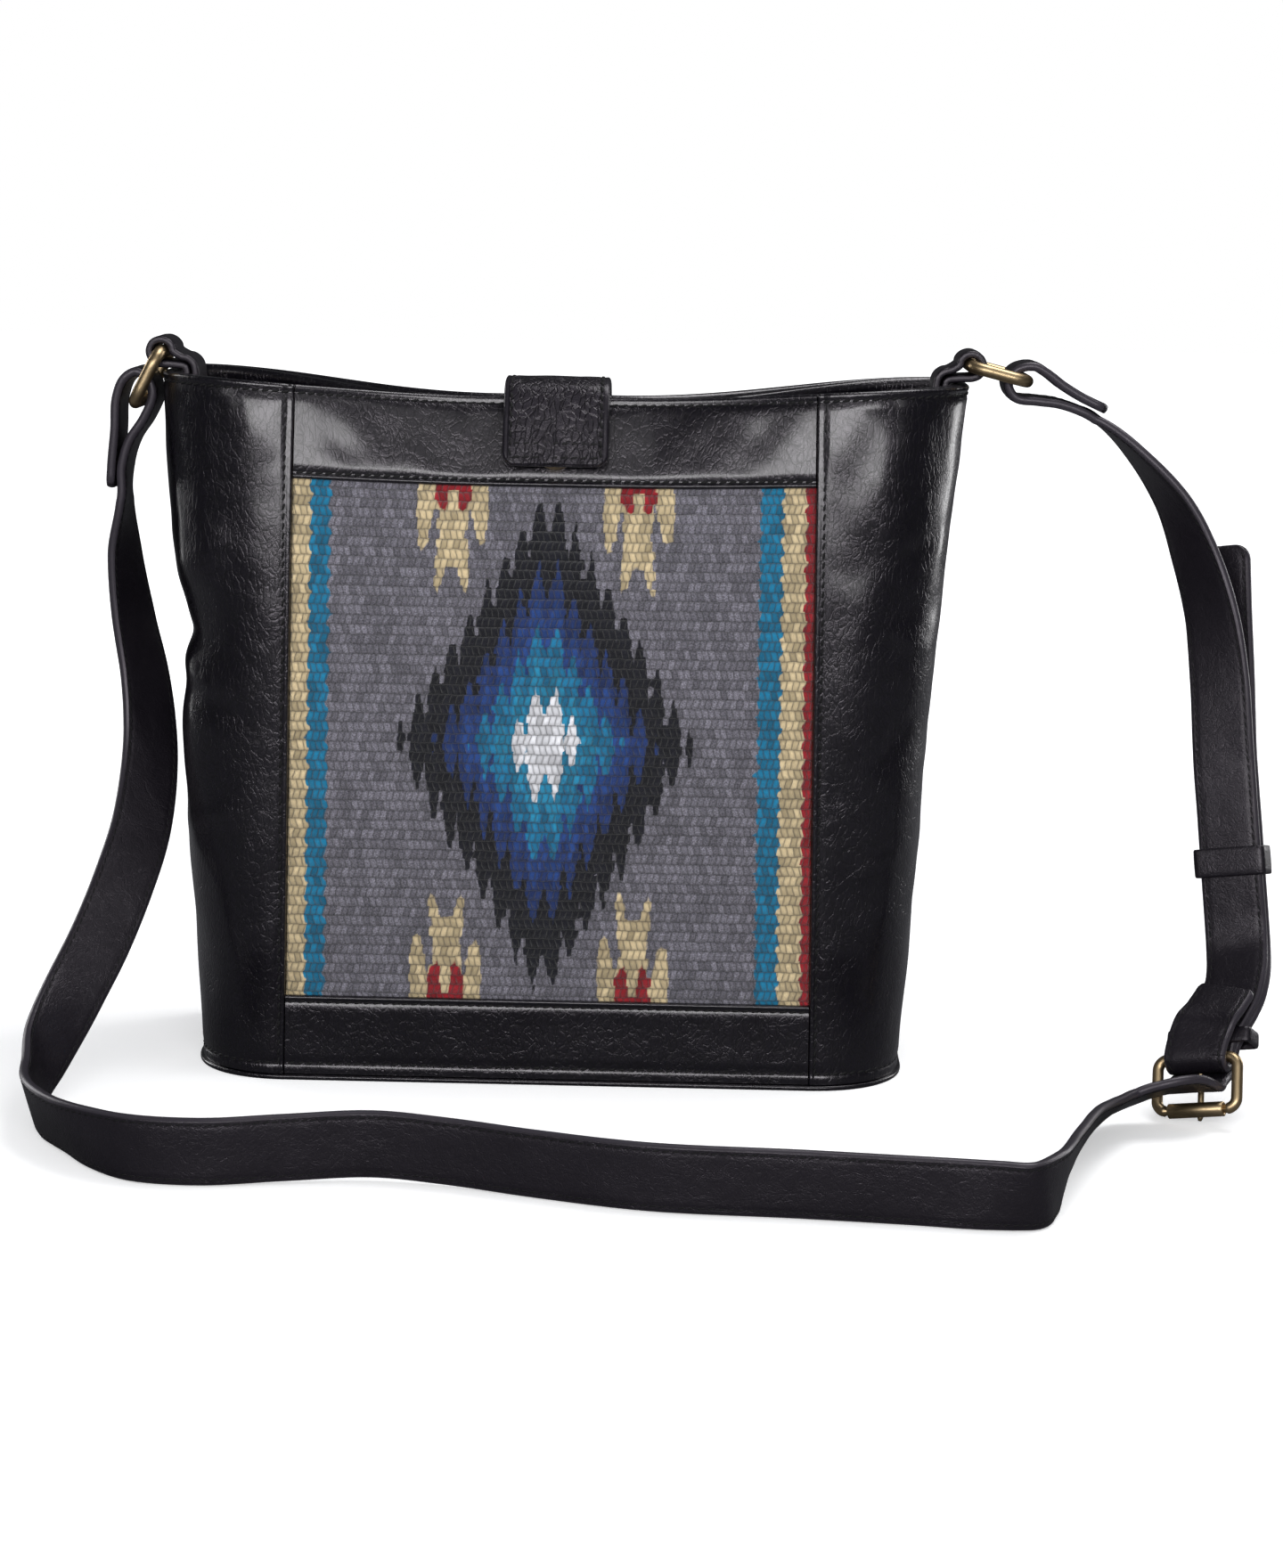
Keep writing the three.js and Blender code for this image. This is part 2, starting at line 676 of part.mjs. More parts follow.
// The short strap's run from the right ring to the fold
const ringLoopRight = [
  [52.6, -15.9], [43.8, -11.8], [35.6, -7.1], [29.4, -2.5], [23.6, 0.3], [17, -1.4],
  [14.2, -6.7], [17.2, -11.7], [25.6, -12.9], [33.8, -13.8], [42.6, -16.6], [50.8, -20.7],
].map(([out, up]) => [besideRing(rightRing, out, 0, up), vec(0, -1, 0)]);
const shortRun = [
  [besideBag(1, 65.5, -6, 0.9015), vec(0.15, -0.98, 0.1)],
  [besideBag(1, 79.2, -10, 0.8365), vec(0.4, -0.9, 0.15)],
  [besideBag(1, 87.6, -14, 0.7665), vec(0.6, -0.78, 0.16)],
  [besideBag(1, 94, -20, 0.6866), vec(0.72, -0.68, 0.165)],
  [besideBag(1, 97.4, -27, 0.5933), vec(0.85, -0.5, 0.165)],
];
const straightRun = [0, 0.33, 0.67, 1]
  .map((t) => [straightTop.clone().lerp(straightFoot, t), straightAcross]);
const foldEase = 0.35;
const foldShift = 0.3;
const foldRun = [
  [inBuckle(37, 10.7, 10.3), alongRoller],
  [inBuckle(27, 8, 9.5), alongRoller],
  [inBuckle(20, 5.9, 7), alongRoller],
  [inBuckle(14, 4.3, 4.4), alongRoller],
  [inBuckle(8, foldRadius - foldEase, 1.9), alongRoller],
];
const foldEnd = [
  [inBuckle(8, -foldRadius + foldEase, 1.9), alongRoller],
  [inBuckle(14, -3.2, 4.4), alongRoller],
  [inBuckle(20, -0.3, 7), alongRoller],
  [inBuckle(28, 4.2, 9.6), alongRoller],
];
const foldArc = range(8).map((t) => {
  const angle = t * Math.PI;
  const place = inBuckle(-foldRadius * Math.sin(angle), foldRadius * Math.cos(angle), foldShift);
  return [place, alongRoller];
});
const stepsPerControl = 2;
const shortStations = stripStations([
  ...ringLoopRight, ...shortRun, ...straightRun, ...foldRun, ...foldArc, ...foldEnd,
], stepsPerControl);
const sharedFrom = (ringLoopRight.length + shortRun.length) * stepsPerControl;
const sharedTo = sharedFrom + (straightRun.length + foldRun.length - 1) * stepsPerControl;
const sharedStations = shortStations.slice(sharedFrom, sharedTo + 1);

// A box in the buckle's frame, for the slot that the prong's eye turns in
function buckleBox(up, out, along, centre) {
  const basis = new THREE.Matrix4().makeBasis(upStrap, farSide, alongRoller.clone().negate());
  const box = new THREE.BoxGeometry(up, out, along);
  box.applyMatrix4(basis);
  box.translate(centre.x, centre.y, centre.z);
  return box;
}

const slotLength = 2 * foldRadius + prongSlotEase;
const slot = buckleBox(slotLength, 4 * foldRadius, 2 * prongSlotHalfWidth, inBuckle(-1.5, 0));
const shortStrap = toSolid(stripSolid(shortStations, strapLeather)).subtract(toSolid(slot));
add('strap_short', fromSolid(shortStrap), leather, leatherRoughness);

// The long strap: from the left ring down to the ground, along the front on its edge, over the
// roller, through the frame, and up the far side of the short strap to its tail.
const ringLoopLeft = [
  [20.2, -52.9], [19.6, -44.3], [18.2, -30.3], [17.5, -18.3], [14.6, -11], [9.6, -7.9],
  [5.2, -10.7], [3.4, -16.8], [7, -25.7], [12.6, -34.4], [15.5, -44.1], [16.3, -58],
].map(([out, up]) => [besideRing(leftRing, out, 0.3, up), vec(0, 1, 0)]);
const leftRun = [
  [besideBag(-1, 16.8, 1, 0.7388), vec(0.3, 0.95, 0)],
  [besideBag(-1, 13.5, 0, 0.6418), vec(0.5, 0.86, 0)],
  [besideBag(-1, 8.5, -3, 0.5522), vec(0.62, 0.78, 0)],
  [besideBag(-1, 5.4, -11, 0.4552), vec(0.74, 0.67, 0)],
  [besideBag(-1, 6, -28, 0.3545), vec(0.85, 0.5, -0.1)],
  [besideBag(-1, 10.4, -45, 0.2791), vec(0.9, 0.4, -0.15)],
  [besideBag(-1, 17, -60, 0.206), vec(0.9, 0.3, -0.3)],
  [besideBag(-1, 24.5, -76, 0.1418), vec(0.8, 0.2, -0.55)],
  [besideBag(-1, 30.5, -95, 0.0858), vec(0.55, 0.25, -0.8)],
];
const leftTurn = [
  [31.8, -117, 1.8, vec(0.15, 0.35, -0.93)],
  [26.8, -138, 0.3, vec(0.25, 0.15, -0.96)],
  [15, -158, 0.2, vec(0.36, 0.1, -0.92)],
  [1.5, -174, 0.2, vec(0.3, 0, -0.95)],
  [-16, -186, 0.2, vec(0.1, 0, -1)],
].map(([out, y, lift, across]) => [onGround(-rimHalfWidth - out, y, lift), across]);
const frontRun = [
  [-0.732, -189, 0.2], [-0.549, -184, 0.8], [-0.3529, -180, 1.6],
  [-0.183, -184, 0.8], [0.0261, -194.5, 0.2], [0.2745, -206, 0.2],
  [0.6144, -210.5, 0.2], [0.8431, -214.5, 0.2], [1.0327, -218, 0.2],
].map(([share, y, lift]) => [onGround(share * rimHalfWidth, y, lift), vec(0, 0, -1)]);
const rightTurn = [
  [14, -217.5, 0.2, vec(0.12, 0.12, -0.98)],
  [22.4, -204, 0.3, vec(-0.1, 0.03, -0.99)],
  [29.4, -177, 0.3, vec(-0.28, 0.07, -0.96)],
  [38, -146, 0.1, vec(-0.42, 0.14, -0.9)],
  [47.5, -117, -1.6, vec(-0.6, 0.33, -0.73)],
  [57.5, -101, -0.2, vec(-0.55, 0.6, -0.6)],
  [68.5, -98, 3.6, vec(-0.28, 0.82, -0.48)],
  [78.5, -96.5, 5.6, vec(-0.6, 0.68, -0.42)],
].map(([out, y, lift, across]) => [onGround(rimEnd(1) + out, y, lift), across]);
const againstRoller = alongRoller.clone().negate();
const throughBuckle = [
  [inBuckle(-12.6, -4), againstRoller],
  [inBuckle(-10.2, -0.6), againstRoller],
  [inBuckle(-7.4, 3.1), againstRoller],
  [inBuckle(-4.3, 6.7, 0.3), againstRoller],
  [inBuckle(0, foldRadius + layerPitch + 0.15, foldShift), againstRoller],
];
const besideShort = sharedStations.slice().reverse().map(({ centre, across, face }) => [
  centre.clone().addScaledVector(face, layerPitch),
  across.clone().negate(),
]);
const tailRun = [
  [besideBag(1, 100.8, -18.5, 0.5896), vec(-0.88, 0.45, -0.165)],
  [besideBag(1, 100.1, -9.5, 0.6794), vec(-0.87, 0.47, -0.165)],
  [besideBag(1, 99.3, -2.5, 0.7743), vec(-0.86, 0.49, -0.165)],
];
const longStations = stripStations([
  ...ringLoopLeft, ...leftRun, ...leftTurn, ...frontRun, ...rightTurn, ...throughBuckle, ...besideShort,
  ...tailRun,
], stepsPerControl, tailCorner);

function cylinderAlong(from, to, radius, sides = 14) {
  const dir = to.clone().sub(from);
  const drill = new THREE.CylinderGeometry(radius, radius, dir.length(), sides);
  const turn = new THREE.Quaternion().setFromUnitVectors(vec(0, 1, 0), dir.clone().normalize());
  drill.applyQuaternion(turn);
  const middle = from.clone().add(to).multiplyScalar(0.5);
  drill.translate(middle.x, middle.y, middle.z);
  return drill;
}

// Prong: its eye turns on the fold's bar inside the slot, and its tip rests across the roller.
const rollerRadius = buckleBarWire + runningGap + rollerWall;
const eyeRadius = buckleWire + runningGap + prongWire;
const tipOut = rollerRadius + runningGap + prongWire;
const prongShaft = [
  inBuckle(-eyeRadius, eyeRadius * 0.72),
  inBuckle(-buckleReach / 2, tipOut),
  inBuckle(-buckleReach, tipOut),
  inBuckle(-buckleReach - 3, tipOut - 0.4),
];
const prongEye = range(14).map((t) => {
  const angle = THREE.MathUtils.degToRad(lerp(-128, 128, t));
  return inBuckle(eyeRadius * Math.cos(angle), eyeRadius * Math.sin(angle));
});
const prongPath = [...prongEye, ...prongShaft];
const prongRadius = (i) => (i === prongPath.length - 1 ? prongWire * 0.6 : prongWire);
add('buckle_prong', wireSolid(prongPath, prongRadius, false, alongRoller, 10), brass, brassRoughness, 1);

const tunnel = cylinderAlong(inBuckle(-buckleReach, tipOut), inBuckle(1, eyeRadius * 0.9), holeRadius);
let longStrap = toSolid(stripSolid(longStations, strapLeather)).subtract(toSolid(tunnel));
const tailFace = straightFace.clone().multiplyScalar(layerPitch);
for (let i = 0; i < holeCount; i += 1) {
  const hole = straightFoot.clone().add(tailFace).addScaledVector(straightDir, -i * holePitch);
  const reach = straightFace.clone().multiplyScalar(strapLeather * 0.75);
  const drill = cylinderAlong(hole.clone().sub(reach), hole.clone().add(reach), holeRadius);
  longStrap = longStrap.subtract(toSolid(drill));
}
add('strap_long', fromSolid(longStrap), leather, leatherRoughness);

// Buckle frame: a rectangular wire, thinner where the roller turns on it.
const frameWidth = buckleInnerWidth + 2 * buckleWire;
const downStrap = upStrap.clone().negate();
const frameLoop = roundedLoop(foldBar, downStrap, alongRoller, buckleReach, frameWidth, buckleCorner);
const rollerHalf = buckleInnerWidth / 2 - runningGap - 2.4;
const rollerStations = [rollerHalf + 1, rollerHalf + 0.6, -(rollerHalf + 0.6), -(rollerHalf + 1)]
  .map((along) => rollerCentre.clone().addScaledVector(alongRoller, along));
const framePath = [...frameLoop.slice(0, 10), ...rollerStations, ...frameLoop.slice(10)];
const thin = (point) => {
  const offset = point.clone().sub(rollerCentre);
  return Math.abs(offset.dot(alongRoller)) < rollerHalf + 0.7 && offset.length() < frameWidth / 2;
};
const frameRadius = (i, point) => (thin(point) ? buckleBarWire : buckleWire);
add('buckle_frame', wireSolid(framePath, frameRadius, true, farSide, 12), brass, brassRoughness, 1);

function rollerSolid() {
  const inner = buckleBarWire + runningGap;
  const profile = [
    new THREE.Vector2(inner, -rollerHalf),
    new THREE.Vector2(rollerRadius, -rollerHalf),
    new THREE.Vector2(rollerRadius, rollerHalf),
    new THREE.Vector2(inner, rollerHalf),
    new THREE.Vector2(inner, -rollerHalf),
  ];
  const tube = new THREE.LatheGeometry(profile, 20);
  tube.applyQuaternion(new THREE.Quaternion().setFromUnitVectors(vec(0, 1, 0), alongRoller));
  tube.translate(rollerCentre.x, rollerCentre.y, rollerCentre.z);
  return tube;
}

add('buckle_roller', rollerSolid(), brass, brassRoughness, 1);

// Keepers: flat leather loops round the strap's layers.
function keeperLoop(innerWidth, innerDepth, width, basis, centre) {
  const outer = new THREE.Shape();
  const half = innerWidth / 2 + keeperLeather;
  const deep = innerDepth / 2 + keeperLeather;
  const rectangle = (target, x, y) => {
    target.moveTo(-x, -y).lineTo(x, -y).lineTo(x, y).lineTo(-x, y).closePath();
  };
  rectangle(outer, half, deep);
  const hole = new THREE.Path();
  rectangle(hole, innerWidth / 2, innerDepth / 2);
  outer.holes.push(hole);
  const loop = new THREE.ExtrudeGeometry(outer, { depth: width, bevelEnabled: false });
  loop.translate(0, 0, -width / 2);
  loop.applyMatrix4(basis);
  loop.translate(centre.x, centre.y, centre.z);
  return loop;
}

const keeperInnerWidth = 2 * strapHalfWidth + 2 * keeperRoom;
const twoLayers = strapLeather + layerPitch;
const upperKeeperPlace = 0.58;
const upperCentre = straightTop.clone().lerp(straightFoot, upperKeeperPlace)
  .addScaledVector(straightFace, layerPitch / 2);
add('keeper_upper', keeperLoop(
  keeperInnerWidth,
  twoLayers + 2 * keeperRoom,
  upperKeeperWidth,
  new THREE.Matrix4().makeBasis(straightAcross, straightFace, straightDir.clone().negate()),
  upperCentre,
), leather, leatherRoughness);
const lowerCentre = inBuckle(lowerKeeperSeat, foldRadius - foldEase + layerPitch / 2 + 0.15, 3.5);
add('keeper_lower', keeperLoop(
  keeperInnerWidth + 5,
  twoLayers + 4 * keeperRoom,
  lowerKeeperWidth,
  new THREE.Matrix4().makeBasis(alongRoller, farSide, upStrap),
  lowerCentre,
), leather, leatherRoughness);

export default group;
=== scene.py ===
import math
import bpy
import numpy as np
from mathutils import Matrix, Vector


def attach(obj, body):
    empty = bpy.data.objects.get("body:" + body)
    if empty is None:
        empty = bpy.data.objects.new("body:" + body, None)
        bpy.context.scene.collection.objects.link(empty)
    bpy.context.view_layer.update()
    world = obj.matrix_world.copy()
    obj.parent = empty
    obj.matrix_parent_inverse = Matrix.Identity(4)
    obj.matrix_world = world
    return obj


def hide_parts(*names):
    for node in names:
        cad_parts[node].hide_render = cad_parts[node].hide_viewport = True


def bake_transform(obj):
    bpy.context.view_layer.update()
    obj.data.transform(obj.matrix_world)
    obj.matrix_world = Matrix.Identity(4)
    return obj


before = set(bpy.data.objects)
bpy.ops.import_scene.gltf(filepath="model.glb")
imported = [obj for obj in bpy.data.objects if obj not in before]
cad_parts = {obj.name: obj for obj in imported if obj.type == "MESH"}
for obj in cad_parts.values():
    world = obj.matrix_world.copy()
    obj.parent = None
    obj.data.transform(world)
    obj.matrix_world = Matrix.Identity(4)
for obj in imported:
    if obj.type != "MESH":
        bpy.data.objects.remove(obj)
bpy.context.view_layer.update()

mm = 0.001


# Camera: it stands in front of the bag, a little to the right, and looks down on it.
cameraView = {
    "place": (0.0547, -1.248, 0.340),
    "turn": -0.95,  # degrees to the right
    "down": 10.5,
    "roll": 1.0,
    "focal": 3608 / 1440,  # focal length as a share of the picture's width
}


# Forward points along +Y, turned by the turn and lowered by down; right and up are then rolled.
def makeCamera():
    turn, down, roll = (math.radians(cameraView[key]) for key in ("turn", "down", "roll"))
    forward = Vector((math.sin(turn) * math.cos(down), math.cos(turn) * math.cos(down), -math.sin(down)))
    right = Vector((math.cos(turn), -math.sin(turn), 0))
    up = right.cross(forward)
    rolledRight = right * math.cos(roll) + up * math.sin(roll)
    rolledUp = up * math.cos(roll) - right * math.sin(roll)
    data = bpy.data.cameras.new("photoCamera")
    data.sensor_fit = "HORIZONTAL"
    data.sensor_width = 36
    data.lens = 36 * cameraView["focal"]
    data.clip_end = 20
    camera = bpy.data.objects.new("photoCamera", data)
    turned = Matrix((rolledRight, rolledUp, -forward)).transposed().to_4x4()
    camera.matrix_world = Matrix.Translation(cameraView["place"]) @ turned
    bpy.context.collection.objects.link(camera)
    bpy.context.scene.camera = camera


makeCamera()
print("camera made")


# Small tools for meshes. Everything is worked out in millimetres and stored in metres.


# Each vector divided by its own length.
def unit(v):
    return v / np.maximum(np.linalg.norm(v, axis=-1, keepdims=True), 1e-9)


# 0 below a, 1 above b, and 3t^2 - 2t^3 between them.
def smoothStep(a, b, x):
    t = np.clip((x - a) / (b - a), 0, 1)
    return t * t * (3 - 2 * t)


# A field of soft waves: the sum of cosines in directions and phases drawn once from a seed.
def waves(points, seed, size, count=9):
    drawn = np.random.default_rng(seed)
    directions = unit(drawn.normal(size=(count, 3))) * drawn.uniform(0.6, 1.6, (count, 1))
    phases = drawn.uniform(0, 2 * np.pi, count)
    return np.cos(points @ directions.T * (2 * np.pi / size) + phases).sum(-1) / math.sqrt(count)


# Quads of a grid whose rows or columns may close on themselves.
def gridQuads(rows, columns, closeRows=False, closeColumns=False):
    r = np.arange(rows if closeRows else rows - 1)[:, None]
    c = np.arange(columns if closeColumns else columns - 1)[None, :]
    r2, c2 = (r + 1) % rows, (c + 1) % columns
    quads = np.stack([r * columns + c, r * columns + c2, r2 * columns + c2, r2 * columns + c], -1)
    return quads.reshape(-1, 4)


# Six times the enclosed volume: the sum of a . (b x c) over the triangles; below 0 the faces point in.
def signedVolume(points, faces):
    total = 0.0
    for face in faces:
        corners = points[face]
        for i in range(1, corners.shape[1] - 1):
            total += np.einsum("ij,ij->", corners[:, 0], np.cross(corners[:, i], corners[:, i + 1]))
    return total


# A mesh from points in mm and lists of faces, its faces turned outwards, riding on a body and taking
# the place of CAD nodes.
def makePiece(name, points, faces, material, body, replaces=(), uv=None, fields=None):
    points = np.asarray(points, float).reshape(-1, 3)
    faces = [np.asarray(f) for f in faces]
    if signedVolume(points, faces) < 0:
        faces = [f[:, ::-1] for f in faces]
    mesh = bpy.data.meshes.new(name)
    sizes = np.concatenate([np.full(len(f), f.shape[1]) for f in faces])
    loops = np.concatenate([f.reshape(-1) for f in faces])
    mesh.vertices.add(len(points))
    mesh.vertices.foreach_set("co", (points * mm).reshape(-1))
    mesh.loops.add(len(loops))
    mesh.loops.foreach_set("vertex_index", loops.astype(np.int32))
    mesh.polygons.add(len(sizes))
    mesh.polygons.foreach_set("loop_start", np.concatenate([[0], np.cumsum(sizes)[:-1]]).astype(np.int32))
    mesh.update(calc_edges=True)
    mesh.polygons.foreach_set("use_smooth", np.full(len(sizes), True))
    if uv is not None:
        layer = mesh.uv_layers.new(name="pieceUV")
        layer.data.foreach_set("uv", uv.reshape(-1, 2)[loops].reshape(-1))
    for fieldName, values in (fields or {}).items():
        attribute = mesh.attributes.new(fieldName, "FLOAT_COLOR", "POINT")
        attribute.data.foreach_set("color", values.reshape(-1))
    mesh.validate()
    mesh.materials.append(material)
    piece = bpy.data.objects.new(name, mesh)
    bpy.context.collection.objects.link(piece)
    if body:
        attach(piece, body)
    if replaces:
        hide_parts(*replaces)
    return piece


# A closed plate: an outer and an inner skin on the same grid, joined round their four edges.
def plateFaces(rows, columns):
    size = rows * columns
    outer = gridQuads(rows, columns)
    inner = outer[:, ::-1] + size
    edge = np.concatenate([
        np.arange(columns),
        np.arange(1, rows) * columns + columns - 1,
        (rows - 1) * columns + np.arange(columns - 2, -1, -1),
        np.arange(rows - 2, 0, -1) * columns,
    ])
    nextEdge = np.roll(edge, -1)
    rim = np.stack([nextEdge, edge, edge + size, nextEdge + size], -1)
    return [outer, inner, rim]


# A node group with its sockets named, its input node and its output node.
def makeGroup(name, inputs, outputs):
    group = bpy.data.node_groups.new(name, "ShaderNodeTree")
    for label, kind, value in inputs:
        socket = group.interface.new_socket(name=label, in_out="INPUT", socket_type=kind)
        if value is not None:
            socket.default_value = value
    for label, kind in outputs:
        group.interface.new_socket(name=label, in_out="OUTPUT", socket_type=kind)
    return group, group.nodes.new("NodeGroupInput"), group.nodes.new("NodeGroupOutput")


# A shader node with its inputs set, or linked where the value is a socket.
def node(tree, kind, inputs=None, **settings):
    made = tree.nodes.new("ShaderNode" + kind)
    for key, value in settings.items():
        setattr(made, key, value)
    for key, value in (inputs or {}).items():
        if isinstance(value, bpy.types.NodeSocket):
            tree.links.new(value, made.inputs[key])
        else:
            made.inputs[key].default_value = value
    return made


# One math node on two values.
def math2(tree, operation, a, b=0.5, clamp=False):
    return node(tree, "Math", {0: a, 1: b}, operation=operation, use_clamp=clamp).outputs[0]


# a x (1 - factor) + b x factor for colours, or another blend of the two.
def mixColor(tree, factor, a, b, blend="MIX"):
    return node(tree, "Mix", {0: factor, 6: a, 7: b}, data_type="RGBA", blend_type=blend).outputs[2]


# A display colour of 0 to 255 made linear with the standard curve.
def srgb(red, green, blue):
    def straight(value):
        value = value / 255
        return value / 12.92 if value <= 0.04045 else ((value + 0.055) / 1.055) ** 2.4
    return (straight(red), straight(green), straight(blue), 1)


# An empty node tree of a material or a world.
def emptyTree(owner):
    owner.use_nodes = True
    owner.node_tree.nodes.clear()
    return owner.node_tree


# A material with one shader, its constants set, and nothing else.
def principled(name, constants):
    material = bpy.data.materials.new(name)
    tree = emptyTree(material)
    shader = node(tree, "BsdfPrincipled", constants)
    node(tree, "OutputMaterial", {"Surface": shader.outputs[0]})
    return material, tree, shader


# A height made a bump on the shader's normal.
def raiseBy(tree, shader, height, strength, distance):
    raised = node(tree, "Bump", {"Height": height, "Strength": strength, "Distance": distance})
    tree.links.new(raised.outputs[0], shader.inputs["Normal"])


# A noise value at a place.
def noiseAt(tree, place, scale, detail, roughness=0.5):
    return node(tree, "TexNoise", {
        "Vector": place, "Scale": scale, "Detail": detail, "Roughness": roughness}).outputs["Fac"]


# The distance to the edge of irregular cells.
def edgesAt(tree, place, scale):
    return node(tree, "TexVoronoi", {"Vector": place, "Scale": scale}, feature="DISTANCE_TO_EDGE").outputs[0]


# Leather. Height is the sum of four parts, each with its own weight: pebbles (distance to the edge
# of small cells), crinkles (thin lines where noise crosses its middle), cracks (the edges of long
# cells) and soft swells (slow noise). The output Cracks is 0 in a crack and 1 away from it.
def makeLeatherGroup():
    group, given, result = makeGroup(
        "leatherGrain",
        [("Vector", "NodeSocketVector", None), ("Pebble", "NodeSocketFloat", 0.5),
         ("Crinkle", "NodeSocketFloat", 0.5), ("Crack", "NodeSocketFloat", 0.5),
         ("Swell", "NodeSocketFloat", 0.5), ("Wear", "NodeSocketFloat", 0.5)],
        [("Height", "NodeSocketFloat"), ("Roughness", "NodeSocketFloat"), ("Tone", "NodeSocketFloat"),
         ("Cracks", "NodeSocketFloat")])
    vector = given.outputs["Vector"]
    bend = node(group, "TexNoise", {"Vector": vector, "Scale": 90.0, "Detail": 2.0}).outputs["Color"]
    bent = node(group, "VectorMath", {0: bend, "Scale": 0.008}, operation="SCALE").outputs[0]
    shifted = node(group, "VectorMath", {0: vector, 1: bent}, operation="ADD").outputs[0]
    pebbles = edgesAt(group, shifted, 1050.0)
    pebble = math2(group, "MULTIPLY", math2(group, "MINIMUM", pebbles, 0.22), given.outputs["Pebble"])
    lines = []
    for scale, thin in ((55.0, 12.0), (150.0, 7.0), (340.0, 4.0)):
        ridge = math2(group, "ABSOLUTE", math2(group, "SUBTRACT", noiseAt(group, shifted, scale, 3.0), 0.5))
        lines.append(math2(group, "MINIMUM", math2(group, "MULTIPLY", ridge, thin), 0.25))
    crinkle = math2(group, "ADD", lines[0], math2(group, "ADD", lines[1], lines[2]))
    crinkle = math2(group, "MULTIPLY", crinkle, given.outputs["Crinkle"])
    drawn = node(group, "VectorMath", {0: shifted, 1: (1.0, 1.0, 0.42)},
                 operation="MULTIPLY").outputs[0]
    cells = edgesAt(group, drawn, 420.0)
    unbroken = node(group, "MapRange", {"Value": cells, "From Min": 0.0, "From Max": 0.13}).outputs[0]
    crack = math2(group, "MULTIPLY", unbroken, given.outputs["Crack"])
    swell = math2(group, "MULTIPLY", noiseAt(group, vector, 34.0, 1.0), given.outputs["Swell"])
    height = math2(group, "ADD", math2(group, "ADD", pebble, crinkle), math2(group, "ADD", crack, swell))
    cloud = noiseAt(group, vector, 22.0, 5.0, 0.6)
    roughness = math2(group, "MULTIPLY", math2(group, "SUBTRACT", cloud, 0.5), given.outputs["Wear"])
    for label, value in (("Height", height), ("Roughness", roughness), ("Tone", cloud), ("Cracks", unbroken)):
        group.links.new(value, result.inputs[label])
    return group


leatherGroup = makeLeatherGroup()


# What a user would change on each leather: dark and light tone, roughness, gloss, the weights of the
# grain's parts and how strongly they are raised; edge is the paint's tone along a strip's edges.
leathers = {
    "bagLeather": {"dark": (4, 3, 8), "light": (9, 7, 16), "roughness": 0.3, "gloss": 0.8, "wear": 0.2,
                   "pebble": 0.3, "crinkle": 0.42, "crack": 0.3, "swell": 2.6, "raise": 0.55},
    "strapLeather": {"dark": (12, 10, 15), "light": (26, 23, 29), "roughness": 0.38, "gloss": 0.1,
                     "wear": 0.16, "pebble": 0.5, "crinkle": 0.55, "crack": 0.0, "swell": 1.5, "raise": 0.5,
                     "edge": (46, 43, 49), "edgeFrom": 0.0107, "edgeTo": 0.0113},
    "tabLeather": {"dark": (14, 12, 17), "light": (34, 31, 38), "roughness": 0.36, "gloss": 0.15,
                   "wear": 0.14, "pebble": 0.35, "crinkle": 0.3, "crack": 0.5, "swell": 1.2, "raise": 0.75,
                   "edge": (24, 22, 28), "edgeFrom": 0.0176, "edgeTo": 0.0182},
}


# Colour runs from dark to light with the grain's tone, and the grain's height is a bump; on strips
# the edge is painted where the distance from the middle passes edgeFrom to edgeTo, in metres.
def leather(name):
    look = leathers[name]
    material, tree, shader = principled(name, {
        "Specular Tint": (0.98, 0.9, 1.0, 1.0), "Coat Weight": look["gloss"], "Coat Roughness": 0.2})
    place = node(tree, "TexCoord").outputs["Object"]
    grain = node(tree, "Group", node_tree=leatherGroup)
    tree.links.new(place, grain.inputs["Vector"])
    for part in ("pebble", "crinkle", "crack", "swell", "wear"):
        grain.inputs[part.title()].default_value = look[part]
    color = mixColor(tree, grain.outputs["Tone"], srgb(*look["dark"]), srgb(*look["light"]))
    # Painted shade: the colour is darkened almost to black in the cracks, where the bump also sinks.
    if look["crack"]:
        color = mixColor(tree, grain.outputs["Cracks"], srgb(5, 5, 8), color)
    rough = math2(tree, "ADD", grain.outputs["Roughness"], look["roughness"], clamp=True)
    height = grain.outputs["Height"]
    if "edge" in look:
        uv = node(tree, "UVMap", uv_map="pieceUV").outputs[0]
        away = math2(tree, "ABSOLUTE", node(tree, "SeparateXYZ", {0: uv}).outputs[1])
        painted = node(tree, "MapRange", {
            "Value": away, "From Min": look["edgeFrom"], "From Max": look["edgeTo"]}).outputs[0]
        color = mixColor(tree, painted, color, srgb(*look["edge"]))
        height = math2(tree, "MULTIPLY", height, math2(tree, "SUBTRACT", 1.0, math2(
            tree, "MULTIPLY", painted, 0.85)))
    tree.links.new(color, shader.inputs["Base Color"])
    tree.links.new(rough, shader.inputs["Roughness"])
    raiseBy(tree, shader, height, look["raise"], 0.0005)
    return material


bagLeather = leather("bagLeather")
strapLeather = leather("strapLeather")
tabLeather = leather("tabLeather")


# Thread: its stitches' pitch, length, radius and slant in mm and radians, and its two tones.
thread = {"pitch": 3.6, "length": 2.9, "radius": 0.6, "slant": 0.24}
threadTones = {"dark": (2, 2, 3), "light": (12, 11, 15)}


